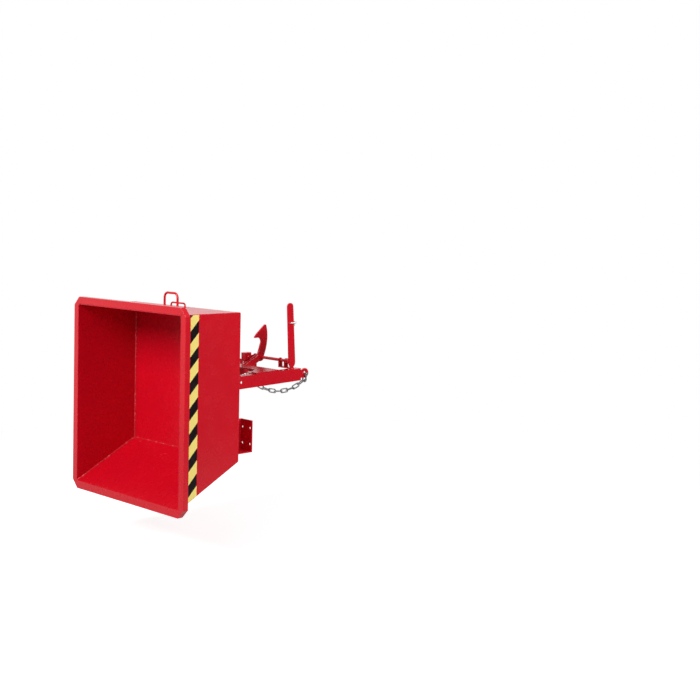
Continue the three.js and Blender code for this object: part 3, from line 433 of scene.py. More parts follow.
def warning_tape():
    """Printed vinyl tape: pale yellow with black diagonal stripes under a smooth film, a little soiled.
    The film is matt and reflects less than the enamel beside it."""
    finish = bpy.context.scene.hopper_finishes
    period = finish.stripe_period
    material, tree, shader, place = new_finish("Warning tape")
    parts = add_node(tree, "ShaderNodeSeparateXYZ", {"Vector": place}).outputs
    # the stripes lie at 45 degrees, along lines on which x and z have the same sum, and a black one starts
    # where the sum is -106.7 mm. Ten periods are added to keep it above zero.
    rise = add_node(tree, "ShaderNodeMath", {"operation": "ADD", 0: parts["X"], 1: parts["Z"]})
    moved = add_node(tree, "ShaderNodeMath", {"operation": "ADD", 0: rise, 1: 106.7 * MM + 10 * period})
    turn = add_node(tree, "ShaderNodeMath", {"operation": "WRAP", 0: moved, 1: period, 2: 0.0})
    # black takes a bit less than half, and the print's edge is sharp to about half a millimetre
    black_end, blur = 0.482 * period, 0.5 * MM
    enters = add_node(tree, "ShaderNodeMapRange", {**SMOOTH, "Value": turn, "From Max": blur})
    ranges = {"From Min": black_end, "From Max": black_end + blur, "To Min": 1, "To Max": 0}
    leaves = add_node(tree, "ShaderNodeMapRange", {**SMOOTH, "Value": turn, **ranges})
    black = add_node(tree, "ShaderNodeMath", {"operation": "MULTIPLY", 0: enters, 1: leaves})
    soil = patches(tree, place, 35 * MM, (0.5, 0.8), (0, 0.18), 6, 0.65)
    layers = ((black, tuple(finish.tape_black)), (soil, linear("#6E5A3C")))
    colour = layered(tree, tuple(finish.tape_yellow), layers)
    gloss = patches(tree, place, 25 * MM, (0.3, 0.7), (0.3, 0.45), 3)
    film = grain(tree, place, 9 * MM, 0.12 * MM, 3, 0.5)
    values = {"Base Color": colour, "Roughness": gloss, "Specular IOR Level": 0.2, "Normal": film}
    fill(tree, shader, values)
    return material


def white_rope():
    """Braided polyester rope: two sets of white strands cross round it, with soft shade between them and
    grey traces of use. The rope's UV map holds the way along it in metres and the share round it."""
    base = tuple(bpy.context.scene.hopper_finishes.rope)
    material, tree, shader, place = new_finish("White rope")
    map_uv = add_node(tree, "ShaderNodeUVMap", {"uv_map": "along_round"})
    parts = add_node(tree, "ShaderNodeSeparateXYZ", {"Vector": map_uv}).outputs
    # a strand goes once round in 26 mm, and four strands lie side by side each way
    lay, number = 26 * MM, 4
    along = add_node(tree, "ShaderNodeMath", {"operation": "MULTIPLY", 0: parts["X"], 1: number / lay})
    around = add_node(tree, "ShaderNodeMath", {"operation": "MULTIPLY", 0: parts["Y"], 1: number})
    waves = []
    for operation in ("ADD", "SUBTRACT"):
        phase = add_node(tree, "ShaderNodeMath", {"operation": operation, 0: along, 1: around})
        full = add_node(tree, "ShaderNodeMath", {"operation": "MULTIPLY", 0: phase, 1: 2 * math.pi})
        waves.append(add_node(tree, "ShaderNodeMath", {"operation": "SINE", 0: full}))
    braid = add_node(tree, "ShaderNodeMath", {"operation": "MULTIPLY", 0: waves[0], 1: waves[1]})
    height = add_node(tree, "ShaderNodeMapRange", {**SMOOTH, "Value": braid, "From Min": -1})
    ranges = {"From Min": -0.9, "From Max": 0.2, "To Min": 0.75, "To Max": 0}
    shade = add_node(tree, "ShaderNodeMapRange", {**SMOOTH, "Value": braid, **ranges})
    used = patches(tree, place, 30 * MM, (0.5, 0.8), (0, 0.3), 5, 0.7)
    colour = layered(tree, base, ((shade, shaded(base, 0.55)), (used, linear("#A8A196"))))
    strands = add_node(tree, "ShaderNodeBump", {"Strength": 0.9, "Distance": 0.5 * MM, "Height": height})
    fill(tree, shader, {"Base Color": colour, "Roughness": 0.85, "Sheen Weight": 0.25, "Normal": strands})
    return material


def wall_light(tree, way, stage):
    """How bright the studio is in gloss: white towards the lit wall and dim on the other sides, by the
    angle between the direction and the wall's middle, which lies 20 degrees to the left of the view."""
    angle = stage.camera_yaw + math.radians(20)
    wall = (-math.cos(angle), -math.sin(angle), 0)
    near = add_node(tree, "ShaderNodeVectorMath", {"operation": "DOT_PRODUCT", 0: way, 1: wall})
    ranges = {"From Min": -0.2, "From Max": 0.85, "To Min": stage.dim_walls}
    return add_node(tree, "ShaderNodeMapRange", {**SMOOTH, "Value": near.outputs["Value"], **ranges})


def straight_view(tree):
    """Two masks: one where a ray comes straight from the camera or through glass, and one in gloss."""
    path = add_node(tree, "ShaderNodeLightPath").outputs
    values = {"operation": "MAXIMUM", 0: path["Is Camera Ray"], 1: path["Is Transmission Ray"]}
    return add_node(tree, "ShaderNodeMath", values), path["Is Glossy Ray"]


FINISH_OF = {
    "red_enamel": "Red enamel",
    "zinc": "Zinc plating",
    "rubber": "Black rubber",
    "warning_strip": "Warning tape",
    "rope": "White rope",
}


# Settings that a user would change

LENGTH = {"unit": "LENGTH", "min": 0}


def colour_setting(name, description, value):
    """A property for a colour, with its hex value as the default."""
    return bpy.props.FloatVectorProperty(
        name=name, description=description, default=linear(value), subtype="COLOR", size=4, min=0, max=1
    )


def number_setting(name, description, default, **limits):
    """A property for a number, with its unit or subtype and its limits."""
    return bpy.props.FloatProperty(name=name, description=description, default=default, **limits)


class HopperFinishes(bpy.types.PropertyGroup):
    """Colours and surface values of the finishes."""

    enamel: colour_setting("Enamel", "Red of the paint", "#C8061D")
    # the lighter red of the painted highlight along the edges
    enamel_edge_highlight: colour_setting("Enamel on edges", "Lighter red where the paint is thin", "#E23A48")
    # the pale red of the painted glints on the weld beads
    enamel_glint: colour_setting(
        "Enamel on weld crests", "Pale red where the paint barely covers the weld", "#EE7C86"
    )
    enamel_roughness: number_setting(
        "Enamel roughness", "Roughness of the paint's surface", 0.26, subtype="FACTOR", min=0, max=1
    )
    orange_peel: number_setting("Orange peel", "Height of the paint's fine waves", 0.006 * MM, **LENGTH)
    zinc: colour_setting("Zinc", "Colour of the plated metal", "#BFC4C6")
    rubber: colour_setting("Rubber", "Colour of the rubber buffers", "#1D1D1E")
    tape_yellow: colour_setting("Tape yellow", "Light colour of the warning tape", "#F0DD7C")
    tape_black: colour_setting("Tape black", "Dark colour of the warning tape", "#150C10")
    stripe_period: number_setting(
        "Stripe period",
        "From one black stripe to the next along the tape",
        118.5 * MM,
        unit="LENGTH",
        min=0.01,
    )
    rope: colour_setting("Rope", "Colour of the rope", "#EFEDE6")


class HopperSizes(bpy.types.PropertyGroup):
    """Sizes that are finish and not form."""

    fold_radius: number_setting(
        "Fold radius", "Outside radius of the rim's folded edges", 2.4 * MM, **LENGTH
    )
    plate_edge: number_setting(
        "Plate edge", "How far a cut plate's edges are rounded off", 0.9 * MM, **LENGTH
    )
    section_edge: number_setting(
        "Section edge", "How far the rolled rails' edges are rounded off", 1.6 * MM, **LENGTH
    )
    weld_size: number_setting("Weld size", "Radius of the weld beads", 2.8 * MM, **LENGTH)


class HopperStage(bpy.types.PropertyGroup):
    """Camera, lamps and floor."""

    lens: number_setting("Lens", "Focal length of the camera", 62.6, unit="CAMERA", min=10)
    camera_place: bpy.props.FloatVectorProperty(
        name="Camera place",
        description="Where the camera stands",
        subtype="TRANSLATION",
        size=3,
        default=(4.152, 4.9844, 0.9368),
    )
    camera_yaw: number_setting(
        "Camera yaw", "Angle between the view and the part's length", math.radians(44.684), subtype="ANGLE"
    )
    camera_pitch: number_setting(
        "Camera pitch", "How far the view looks down", math.radians(4.153), subtype="ANGLE"
    )
    floor_height: number_setting(
        "Floor height", "Height of the floor under the carried frame", -0.86, unit="LENGTH"
    )
    floor_colour: colour_setting("Floor", "Colour of the floor", "#F2F2F2")
    floor_lift: number_setting("Floor lift", "Light of its own that the seen floor has", 0.52, min=0)
    key_power: number_setting("Main lamp", "Power of the main lamp", 297, unit="POWER", min=0)
    fill_power: number_setting("Side lamp", "Power of the side lamp", 230, unit="POWER", min=0)
    room_light: number_setting("Room light", "Brightness of the room's soft light", 0.32, min=0)
    dim_walls: number_setting("Dim walls", "Brightness in gloss of the walls that aren't lit", 0.05, min=0)


# Pieces


class HOPPER_OT_finishes(bpy.types.Operator):
    """Make the finishes and give each CAD node its own"""

    bl_idname = "hopper.finishes"
    bl_label = "Finishes"

    def execute(self, context):
        for make in (red_enamel, welded_enamel, zinc, black_rubber, warning_tape, white_rope):
            make()
        for name, node in frame["nodes"].items():
            node.data.materials.clear()
            node.data.materials.append(bpy.data.materials[FINISH_OF[SLOT_OF[name]]])
        return {"FINISHED"}


class HOPPER_OT_stage(bpy.types.Operator):
    """Set up the camera, the soft lamps, the white room and the pale floor"""

    bl_idname = "hopper.stage"
    bl_label = "Stage"

    def execute(self, context):
        stage = context.scene.hopper_stage
        self.camera(context, stage)
        self.lamp("Main lamp", (4.8, 0.4, 3.2), 2.4, stage.key_power)
        self.lamp("Side lamp", (-0.6, 5.4, 2.4), 3.0, stage.fill_power)
        self.room(context, stage)
        self.floor(stage)
        context.scene.view_settings.view_transform = "Standard"
        return {"FINISHED"}

    def camera(self, context, stage):
        """The view goes the way that the yaw and pitch say. The picture's middle lies 70 of 700 pixels
        below the view's axis, so the shift is a tenth of the width."""
        data = bpy.data.cameras.new("Camera")
        data.lens = stage.lens
        data.sensor_width = 36
        data.shift_y = -0.1
        camera = show("Camera", data)
        camera.location = stage.camera_place
        camera.rotation_euler = (math.pi / 2 - stage.camera_pitch, 0, math.pi / 2 + stage.camera_yaw)
        context.scene.camera = camera

    def lamp(self, name, place, size, power):
        """A square area lamp that faces the middle of the part, 0.2 m in front of the frame's origin."""
        data = bpy.data.lights.new(name, "AREA")
        data.shape = "SQUARE"
        data.size = size
        data.energy = power
        lamp = show(name, data)
        lamp.location = place
        away = np.array(place) - np.array((0.2, 0, 0))
        flat = math.hypot(away[0], away[1])
        lamp.rotation_euler = (math.atan2(flat, away[2]), 0, math.atan2(away[1], away[0]) + math.pi / 2)

    def room(self, context, stage):
        """A studio with a lit white wall behind the part and darker walls on the other sides. The wall is
        full white where it is seen directly or through glass, and all sides give the same soft light."""
        world = bpy.data.worlds.new("White room")
        world.use_nodes = True
        tree = world.node_tree
        tree.nodes.clear()
        plain, glossy = straight_view(tree)
        way = add_node(tree, "ShaderNodeTexCoord").outputs["Generated"]
        shine = wall_light(tree, way, stage)
        unseen = add_node(tree, "ShaderNodeMix", {"Factor": glossy, "A": stage.room_light, "B": shine})
        strength = add_node(tree, "ShaderNodeMix", {"Factor": plain, "A": unseen, "B": 1.0})
        air = add_node(tree, "ShaderNodeBackground", {"Color": (1, 1, 1, 1), "Strength": strength})
        add_node(tree, "ShaderNodeOutputWorld", {"Surface": air})
        context.scene.world = world

    def floor(self, stage):
        """A wide flat floor, a grid of 12 by 12 squares. Light of its own is added where it is seen
        directly or through glass, and a little in gloss, so that it looks white and keeps the part's
        shadow."""
        lines, half = 13, 24
        line = np.linspace(-half, half, lines)
        x, y = np.meshgrid(line, line, indexing="ij")
        points = np.stack([x, y, np.full_like(x, stage.floor_height)], -1)
        index = np.arange(lines * lines).reshape(lines, lines)
        quads = np.stack([index[:-1, :-1], index[1:, :-1], index[1:, 1:], index[:-1, 1:]], -1)
        mesh = bpy.data.meshes.new("Floor")
        mesh.from_pydata(points.reshape(-1, 3).tolist(), [], quads.reshape(-1, 4).tolist())
        floor = show("Floor", mesh)
        material, tree, shader, place = new_finish("Pale floor")
        plain, glossy = straight_view(tree)
        # the floor throws back half as much light as is seen on it, and has little light of its own in
        # gloss, so that low surfaces don't turn pale
        colour = tuple(stage.floor_colour)
        faint = add_node(tree, "ShaderNodeMath", {"operation": "MULTIPLY", 0: glossy, 1: 0.15})
        either = add_node(tree, "ShaderNodeMath", {"operation": "MAXIMUM", 0: plain, 1: faint})
        lift = add_node(tree, "ShaderNodeMath", {"operation": "MULTIPLY", 0: either, 1: stage.floor_lift})
        values = {
            "Base Color": layered(tree, shaded(colour, 0.5), [(plain, colour)]),
            "Roughness": 0.8,
            "Specular IOR Level": 0.1,
            "Emission Color": (1, 1, 1, 1),
            "Emission Strength": lift,
        }
        fill(tree, shader, values)
        # from 0.9 to 3.2 m away from the part the floor runs out into the walls' own light
        flat = add_node(tree, "ShaderNodeVectorMath", {"operation": "MULTIPLY", 0: place, 1: (1, 1, 0)})
        reach = add_node(tree, "ShaderNodeVectorMath", {"operation": "LENGTH", 0: flat}).outputs["Value"]
        ranges = {"From Min": 0.9, "From Max": 3.2}
        far = add_node(tree, "ShaderNodeMapRange", {**SMOOTH, "Value": reach, **ranges})
        way = add_node(tree, "ShaderNodeVectorMath", {"operation": "NORMALIZE", 0: flat})
        shine = wall_light(tree, way, stage)
        glow = add_node(tree, "ShaderNodeMix", {"Factor": plain, "A": shine, "B": 1.0})
        white = add_node(tree, "ShaderNodeEmission", {"Color": (1, 1, 1, 1), "Strength": glow})
        seen = add_node(tree, "ShaderNodeMath", {"operation": "MAXIMUM", 0: plain, 1: glossy})
        share = add_node(tree, "ShaderNodeMath", {"operation": "MULTIPLY", 0: far, 1: seen})
        mix = add_node(tree, "ShaderNodeMixShader", {0: share, 1: shader, 2: white})
        fill(tree, tree.get_output_node("ALL"), {"Surface": mix})
        mesh.materials.append(material)


class HOPPER_OT_rope(bpy.types.Operator):
    """Lay the pull rope: its loop and knot at the lever, the run down and the hank behind the lever"""

    bl_idname = "hopper.rope"
    bl_label = "Pull rope"

    diameter = 6 * MM
    turn = math.pi / 4
    middle = np.array((-234, 201, 167)) * MM
    run_route = np.array(
        [
            (-222.5, 246, 234.6),
            (-220, 243.5, 228),
            (-210, 234, 222),
            (-202, 224, 215),
            (-200.1, 220.4, 208.5),
            (-201.3, 219.2, 202.8),
        ]
    )

    def execute(self, context):
        run, hank = self.run(), self.hank()
        line = np.concatenate([run[:-1], hank])
        # the section's upright turns from the run's own to the hank's
        share = np.clip(np.arange(len(line)) / len(run), 0, 1)[:, None]
        across_hank = np.array((-math.sin(self.turn), math.cos(self.turn), 0))
        upright = (1 - share) * np.array((-0.7, 0.7, 0)) + share * across_hank
        grid = carry(line, circle(self.diameter / 2, 16), upright)
        rope = self.strand("pull_rope", grid, line, ["rope_run", "rope_hank"])
        loop = self.loop()
        stopper = self.stopper(hank)
        tie = self.tie()
        return {"FINISHED"}

    def run(self):
        """A smooth curve through the route's points: between each two, the centripetal Catmull-Rom blend
        of the four nearest, in eight steps."""
        route = self.run_route
        ends = [2 * route[:1] - route[1:2], route, 2 * route[-1:] - route[-2:-1]]
        points = np.concatenate(ends)
        knots = np.concatenate([[0], np.cumsum(np.linalg.norm(np.diff(points, axis=0), axis=1) ** 0.5)])
        share = np.linspace(0, 1, 8, endpoint=False)
        p = [points[i : len(points) - 3 + i, None] for i in range(4)]
        t = [knots[i : len(knots) - 3 + i, None, None] for i in range(4)]
        at = t[1] + (t[2] - t[1]) * share[None, :, None]

        def mix(a, b, low, high):
            """The first line where the place is low, the second where it is high, straight between."""
            return ((high - at) * a + (at - low) * b) / (high - low)

        first = [mix(p[i], p[i + 1], t[i], t[i + 1]) for i in range(3)]
        second = [mix(first[i], first[i + 1], t[i], t[i + 2]) for i in range(2)]
        curve = mix(second[0], second[1], t[1], t[2]).reshape(-1, 3)
        return np.concatenate([curve, route[-1:]]) * MM

    def hank(self):
        """Four layers of two loops that spiral in and out. A loop has two straight runs and two half
        circles and is drawn in at the waist, and the climb to the next layer lies where the spiral turns
        back."""
        fold, straight, layers, pitch, waist, per_loop = 18, 70, 4, 6.8, 0.2, 24
        runs, folds, in_layer = per_loop / 6, per_loop / 3, 2 * per_loop
        i = np.arange(-runs / 2, layers * in_layer + runs / 2 + 0.01, 0.25)
        layer = np.clip(np.floor(i / in_layer), 0, layers - 1)
        part = (i - layer * in_layer) / per_loop
        outwards = np.where(layer % 2 == 0, 2 - part, part)
        radius = fold + pitch / (1 - waist) * outwards
        nearest = np.round(i / in_layer)
        climb = np.clip((i - nearest * in_layer) / runs, -0.5, 0.5) + 0.5
        turns_back = (nearest > 0) & (nearest < layers)
        depth = np.where(turns_back, pitch * (nearest - 1 + climb), pitch * layer)
        step = (i + runs / 2 + per_loop) % per_loop
        half = step % (per_loop / 2)
        angle = np.pi * (half - runs) / folds
        on_fold = half > runs
        across = np.where(on_fold, radius * np.cos(angle), radius)
        below = -straight / 2 - radius * np.sin(angle)
        up = np.where(on_fold, below, straight / 2 - straight * half / runs)
        across *= 1 - waist * np.maximum(0, 1 - (up / (straight / 2)) ** 2)
        side = np.where(step >= per_loop / 2, -1, 1)
        depth = depth - pitch * (layers - 1) / 2
        return self.in_hank(side * across * MM, depth * MM, side * up * MM)

    def in_hank(self, across, depth, up):
        """Points given across, through and along the hank, turned to where it hangs."""
        cos, sin = math.cos(self.turn), math.sin(self.turn)
        return np.stack([across * cos - depth * sin, across * sin + depth * cos, up], -1) + self.middle

    def strand(self, name, grid, line, nodes, closed=False):
        """A rope's skin with a UV map of the way along in metres and the share round it."""
        points, faces = shell(grid, closed)
        mesh = bpy.data.meshes.new(name)
        mesh.from_pydata(points.tolist(), [], faces)
        rows, sides = grid.shape[:2]
        path = np.concatenate([line, line[:1]]) if closed else line
        along = distances(path)
        spans = rows if closed else rows - 1
        row, column = np.meshgrid(np.arange(spans), np.arange(sides), indexing="ij")
        u = np.stack([along[row], along[row], along[row + 1], along[row + 1]], -1)
        v = np.stack([column, column + 1, column + 1, column], -1) / sides
        uv = np.zeros((len(mesh.loops), 2))
        uv[: u.size] = np.stack([u.ravel(), v.ravel()], -1)
        mesh.uv_layers.new(name="along_round").data.foreach_set("uv", uv.ravel().astype(np.float32))
        return finish_piece(show(name, mesh), nodes, BODY_OF["rope_hank"], "rope", 60)

    def knotted(self, centre, size, wire, round_x):
        """A pulled overhand knot: a closed curve that goes twice round its middle while it winds three
        times about its own ring. It goes round x or round z."""
        t = np.arange(120) / 120 * 2 * np.pi
        ring = 0.6 + 0.4 * np.cos(3 * t)
        line = np.stack([ring * np.cos(2 * t), ring * np.sin(2 * t), 0.55 * np.sin(3 * t)], -1) * size
        upright = np.stack([np.cos(2 * t), np.sin(2 * t), np.zeros_like(t)], -1)
        if round_x:
            line = line[:, [2, 0, 1]] * (1.5, 1, 1)
            upright = upright[:, [2, 0, 1]]
        line = line + centre
        return line, carry(line, circle(wire, 10), upright, closed=True)

    def loop(self):
        """The loop through the lever's hole and the knot that closes it. The loop is a circle whose
        inside touches both ends of the hole's rear edge, so half the plate and the way from there to the
        circle's middle stand square in its radius."""
        hole = SHAFT + np.array((0, 246, 205)) * MM
        radius, wire, hole_radius, half_plate = 16, 3, 6.5, 4
        reach = math.sqrt((radius - wire - GAP) ** 2 - half_plate**2)
        centre = hole - np.array(((hole_radius + reach) * MM, 0, 0))
        angle = np.arange(96) / 96 * 2 * np.pi
        line = centre + radius * MM * np.stack([np.cos(angle), np.sin(angle), 0 * angle], -1)
        grid = carry(line, circle(self.diameter / 2, 14), (0, 0, 1), closed=True)
        loop = self.strand("rope_loop", grid, line, ["rope_knot"], closed=True)
        behind = centre - np.array((radius * MM, 0, 0))
        knot_line, knot_grid = self.knotted(behind, 5.2 * MM, 2.9 * MM, True)
        knot = self.strand("loop_knot", knot_grid, knot_line, [], closed=True)
        return [loop, knot]

    def stopper(self, hank):
        """A knot at the rope's end, its middle 4.3 mm further on."""
        ahead = hank[-1] - hank[-2]
        centre = hank[-1] + ahead / np.linalg.norm(ahead) * 4.3 * MM
        line, grid = self.knotted(centre, 3.9 * MM, 2.5 * MM, False)
        return self.strand("end_knot", grid, line, [], closed=True)

    def tie(self):
        """Three turns of thin cord round the hank's waist: a rounded rectangle of 66 by 31 mm, with
        powers of sine and cosine, that climbs 3.4 mm each turn."""
        angle = np.arange(150) / 50 * 2 * np.pi
        cos, sin = np.cos(angle), np.sin(angle)
        across = np.sign(cos) * np.abs(cos) ** 0.75 * 33 * MM
        depth = np.sign(sin) * np.abs(sin) ** 0.75 * 15.5 * MM
        line = self.in_hank(across, depth, (angle / (2 * np.pi) - 1.5) * 3.4 * MM)
        grid = carry(line, circle(1.6 * MM, 8), (0, 0, 1))
        return self.strand("hank_tie", grid, line, [])


class HOPPER_OT_bucket(bpy.types.Operator):
    """Fold the tub from sheet, set its side walls and put the rim round its mouth"""

    bl_idname = "hopper.bucket"
    bl_label = "Bucket"

    def execute(self, context):
        sizes = context.scene.hopper_sizes
        self.tub()
        for side, _ in SIDES:
            eased_copy("side_wall_" + side, 0.6 * MM, 2)
        for place in ("left", "right", "rear", "front"):
            eased_copy("rim_bar_" + place, sizes.fold_radius, 4)
        return {"FINISHED"}

    def tub(self):
        """The tub's outline, outside and back inside, carried from side to side in 24 steps."""
        half = WALL_OUT - SHEET - GAP
        section = np.concatenate([tub_line(0), tub_line(SHEET)[::-1]])
        across = np.linspace(-half, half, 25)[:, None]
        x, y, z = np.broadcast_arrays(section[:, 0], across, section[:, 1])
        grid = np.stack([x, y, z], -1) * MM
        build_piece("tub_sheet", [shell(tipped(grid))], ["tub_wrapper"], "bucket", "red_enamel")


def tub_line(inset):
    """The tub's outline from the side in millimetres: rear wall, floor and sloped front, each fold an
    arc."""
    slope = math.atan2(MOUTH - FLOOR, MOUTH_FRONT - FLOOR_FRONT)
    corners = [
        (REAR + inset, MOUTH),
        (REAR + inset, FLOOR + inset),
        (FLOOR_FRONT - inset * math.tan(slope / 2), FLOOR + inset),
        (MOUTH_FRONT - inset / math.sin(slope), MOUTH),
    ]
    return rounded_line(corners, FOLD - inset, FOLD_STEPS)


class HOPPER_OT_strips(bpy.types.Operator):
    """Stick the warning tape on both side walls behind the rim"""

    bl_idname = "hopper.strips"
    bl_label = "Warning tape"

    width = 76
    thick = 0.8

    def execute(self, context):
        for side, sign in SIDES:
            name, node = "warning_tape_" + side, "warning_strip_" + side
            strip = build_piece(name, [self.strip(sign)], [node], "bucket", "warning_strip", sharp=60)
            edge = strip.modifiers.new("Cut edge", "BEVEL")
            edge.width = 0.2 * MM
            edge.segments = 2
            edge.limit_method = "ANGLE"
            edge.angle_limit = math.radians(60)
        return {"FINISHED"}

    def strip(self, sign):
        """A band along the wall below the rim: the way across goes from the rim downwards, and the way
        along from the rear wall to the slanted front, whose line cuts it off."""
        across = np.linspace(0, self.width, 9)
        height = RIM_LOW - GAP - across
        lean = (MOUTH_FRONT - FLOOR_FRONT) / (MOUTH - FLOOR)
        rear = REAR + 2
        front = FLOOR_FRONT + (height - FLOOR) * lean - 2.5
        x = rear + np.linspace(0, 1, 61)[:, None] * (front - rear)
        z = np.broadcast_to(height, x.shape)
        stuck = WALL_OUT + 0.1
        faces = [np.stack([x, np.full_like(x, sign * y), z], -1) for y in (stuck, stuck + self.thick)]
        grid = np.concatenate([faces[0], faces[1][:, ::-1]], 1) * MM
        return shell(tipped(grid))


class HOPPER_OT_loops(bpy.types.Operator):
    """Bend the catch bar and the lashing bar and set them on the rear wall"""

    bl_idname = "hopper.loops"
    bl_label = "Bar loops"

    def execute(self, context):
        for name, bar, reach, span, above, bend in WALL_LOOPS:
            side, top = (span - bar) / 2, REAR - reach + bar / 2
            corners = [(REAR + 1, -side), (top, -side), (top, side), (REAR + 1, side)]
            line = rounded_line(corners, bend, 14)
            path = np.stack([line[:, 0], line[:, 1], np.full(len(line), FLOOR + above)], -1) * MM
            grid = carry(tipped(path), circle(bar / 2 * MM, 20), tipped((0, 0, 1)) - tipped((0, 0, 0)))
            build_piece(name + "_bar", [shell(grid)], [name], "bucket", "red_enamel", sharp=50)
        return {"FINISHED"}


class HOPPER_OT_feet(bpy.types.Operator):
    """Ease the edges of the foot plates under the bucket's floor"""

    bl_idname = "hopper.feet"
    bl_label = "Foot plates"

    def execute(self, context):
        for side, _ in SIDES:
            eased_copy("foot_plate_" + side, context.scene.hopper_sizes.plate_edge)
        return {"FINISHED"}


class HOPPER_OT_hinges(bpy.types.Operator):
    """Finish the hinge lugs and their split pins, and turn the hinge pins"""

    bl_idname = "hopper.hinges"
    bl_label = "Hinges"

    def execute(self, context):
        edge = context.scene.hopper_sizes.plate_edge
        for side, sign in SIDES:
            eased_copy("hinge_lug_outer_" + side, edge)
            eased_copy("hinge_lug_inner_" + side, edge)
            eased_copy("split_pin_" + side, 0.3 * MM, 2)
            self.pin(side, sign)
        return {"FINISHED"}

    def pin(self, side, sign):
        """A turned pin of 20 mm: a bar with a chamfered end and a flat head of 30 mm, whose rim is an
        arc."""
        low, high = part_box("hinge_pin_" + side)
        inner, outer = (low.y, high.y) if sign > 0 else (-high.y, -low.y)
        radius, head_radius, head, chamfer, rim = 10 * MM, 15 * MM, 5 * MM, 1.5 * MM, 1.8 * MM
        arc = np.linspace(0, np.pi / 2, 7)
        dome = [(outer - rim + rim * math.sin(a), head_radius - rim + rim * math.cos(a)) for a in arc]
        profile = [
            (inner, radius - chamfer),
            (inner + chamfer, radius),
            (outer - head, radius),
            (outer - head, head_radius),
            *dome,
            (outer, 6 * MM),
        ]
        grid = turned(profile, (HINGE[0], 0, HINGE[2]), (0, sign, 0), 40)
        build_piece("turned_pin_" + side, [shell(grid)], ["hinge_pin_" + side], "frame", "zinc", sharp=30)


class HOPPER_OT_frame(bpy.types.Operator):
    """Ease the edges of the rails, cross plates, straps and wear plates"""

    bl_idname = "hopper.frame"
    bl_label = "Frame"

    def execute(self, context):
        sizes = context.scene.hopper_sizes
        for side, _ in SIDES:
            eased_copy("rail_" + side, sizes.section_edge)
            eased_copy("fork_seat_" + side, sizes.plate_edge)
        for node in ("middle_cross_plate", "front_cross_bar", "front_bottom_strap", "rear_bottom_strap"):
            eased_copy(node, sizes.plate_edge)
        return {"FINISHED"}


class HOPPER_OT_buffers(bpy.types.Operator):
    """Round the rubber buffers that the level bucket rests on"""

    bl_idname = "hopper.buffers"
    bl_label = "Rubber buffers"

    def execute(self, context):
        for side, _ in SIDES:
            eased_copy("rest_buffer_" + side, 4 * MM, 5)
        return {"FINISHED"}


class HOPPER_OT_release(bpy.types.Operator):
    """Finish the hand lever, the hook and the shaft with its bracket and cheeks"""

    bl_idname = "hopper.release"
    bl_label = "Release gear"

    def execute(self, context):
        edge = context.scene.hopper_sizes.plate_edge
        for node in ("release_hook", "shaft_bracket", "hook_cheek_left", "hook_cheek_right"):
            eased_copy(node, edge)
        reshape(eased_copy("release_lever", edge), self.long_foot)
        low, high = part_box("release_shaft")
        radius, chamfer = 8 * MM, 1 * MM
        profile = [
            (low.y, radius - chamfer),
            (low.y + chamfer, radius),
            (high.y - chamfer, radius),
            (high.y, radius - chamfer),
        ]
        bar = shell(turned(profile, (SHAFT[0], 0, SHAFT[2]), (0, 1, 0)))
        body = BODY_OF["release_shaft"]
        build_piece("turned_shaft", [bar], ["release_shaft"], body, "red_enamel", sharp=30)
        return {"FINISHED"}

    def long_foot(self, points):
        """The lever's round foot, 22 mm deep below the height of 34 mm, is drawn out to 30 mm, so that it
        ends just over the rail. The hub behind the plate, whose radius is under 14.6 mm, stays round."""
        start, deep, drawn, hub, plate = 34 * MM, 22, 30, 14.6 * MM, 241 * MM
        off_hub = np.hypot(points[:, 0] - SHAFT[0], points[:, 2] - SHAFT[2]) > hub
        below = np.clip(start - points[:, 2], 0, None)
        points[:, 2] -= np.where(off_hub & (points[:, 1] > plate), below * (drawn / deep - 1), 0)
        return points


class HOPPER_OT_counterweight(bpy.types.Operator):
    """Finish the counterweight with its arm, its bolt and the stop below it"""

    bl_idname = "hopper.counterweight"
    bl_label = "Counterweight"

    def execute(self, context):
        edge = context.scene.hopper_sizes.plate_edge
        eased_copy("counterweight_block", 1.4 * MM)
        for node in ("counterweight_arm", "counterweight_stop", "counterweight_bolt"):
            eased_copy(node, edge)
        return {"FINISHED"}


class HOPPER_OT_lugs(bpy.types.Operator):
    """Finish the two lugs behind the rails"""

    bl_idname = "hopper.lugs"
    bl_label = "Rear lugs"

    def execute(self, context):
        for side, _ in SIDES:
            eased_copy("rear_lug_" + side, 1.3 * MM)
        return {"FINISHED"}


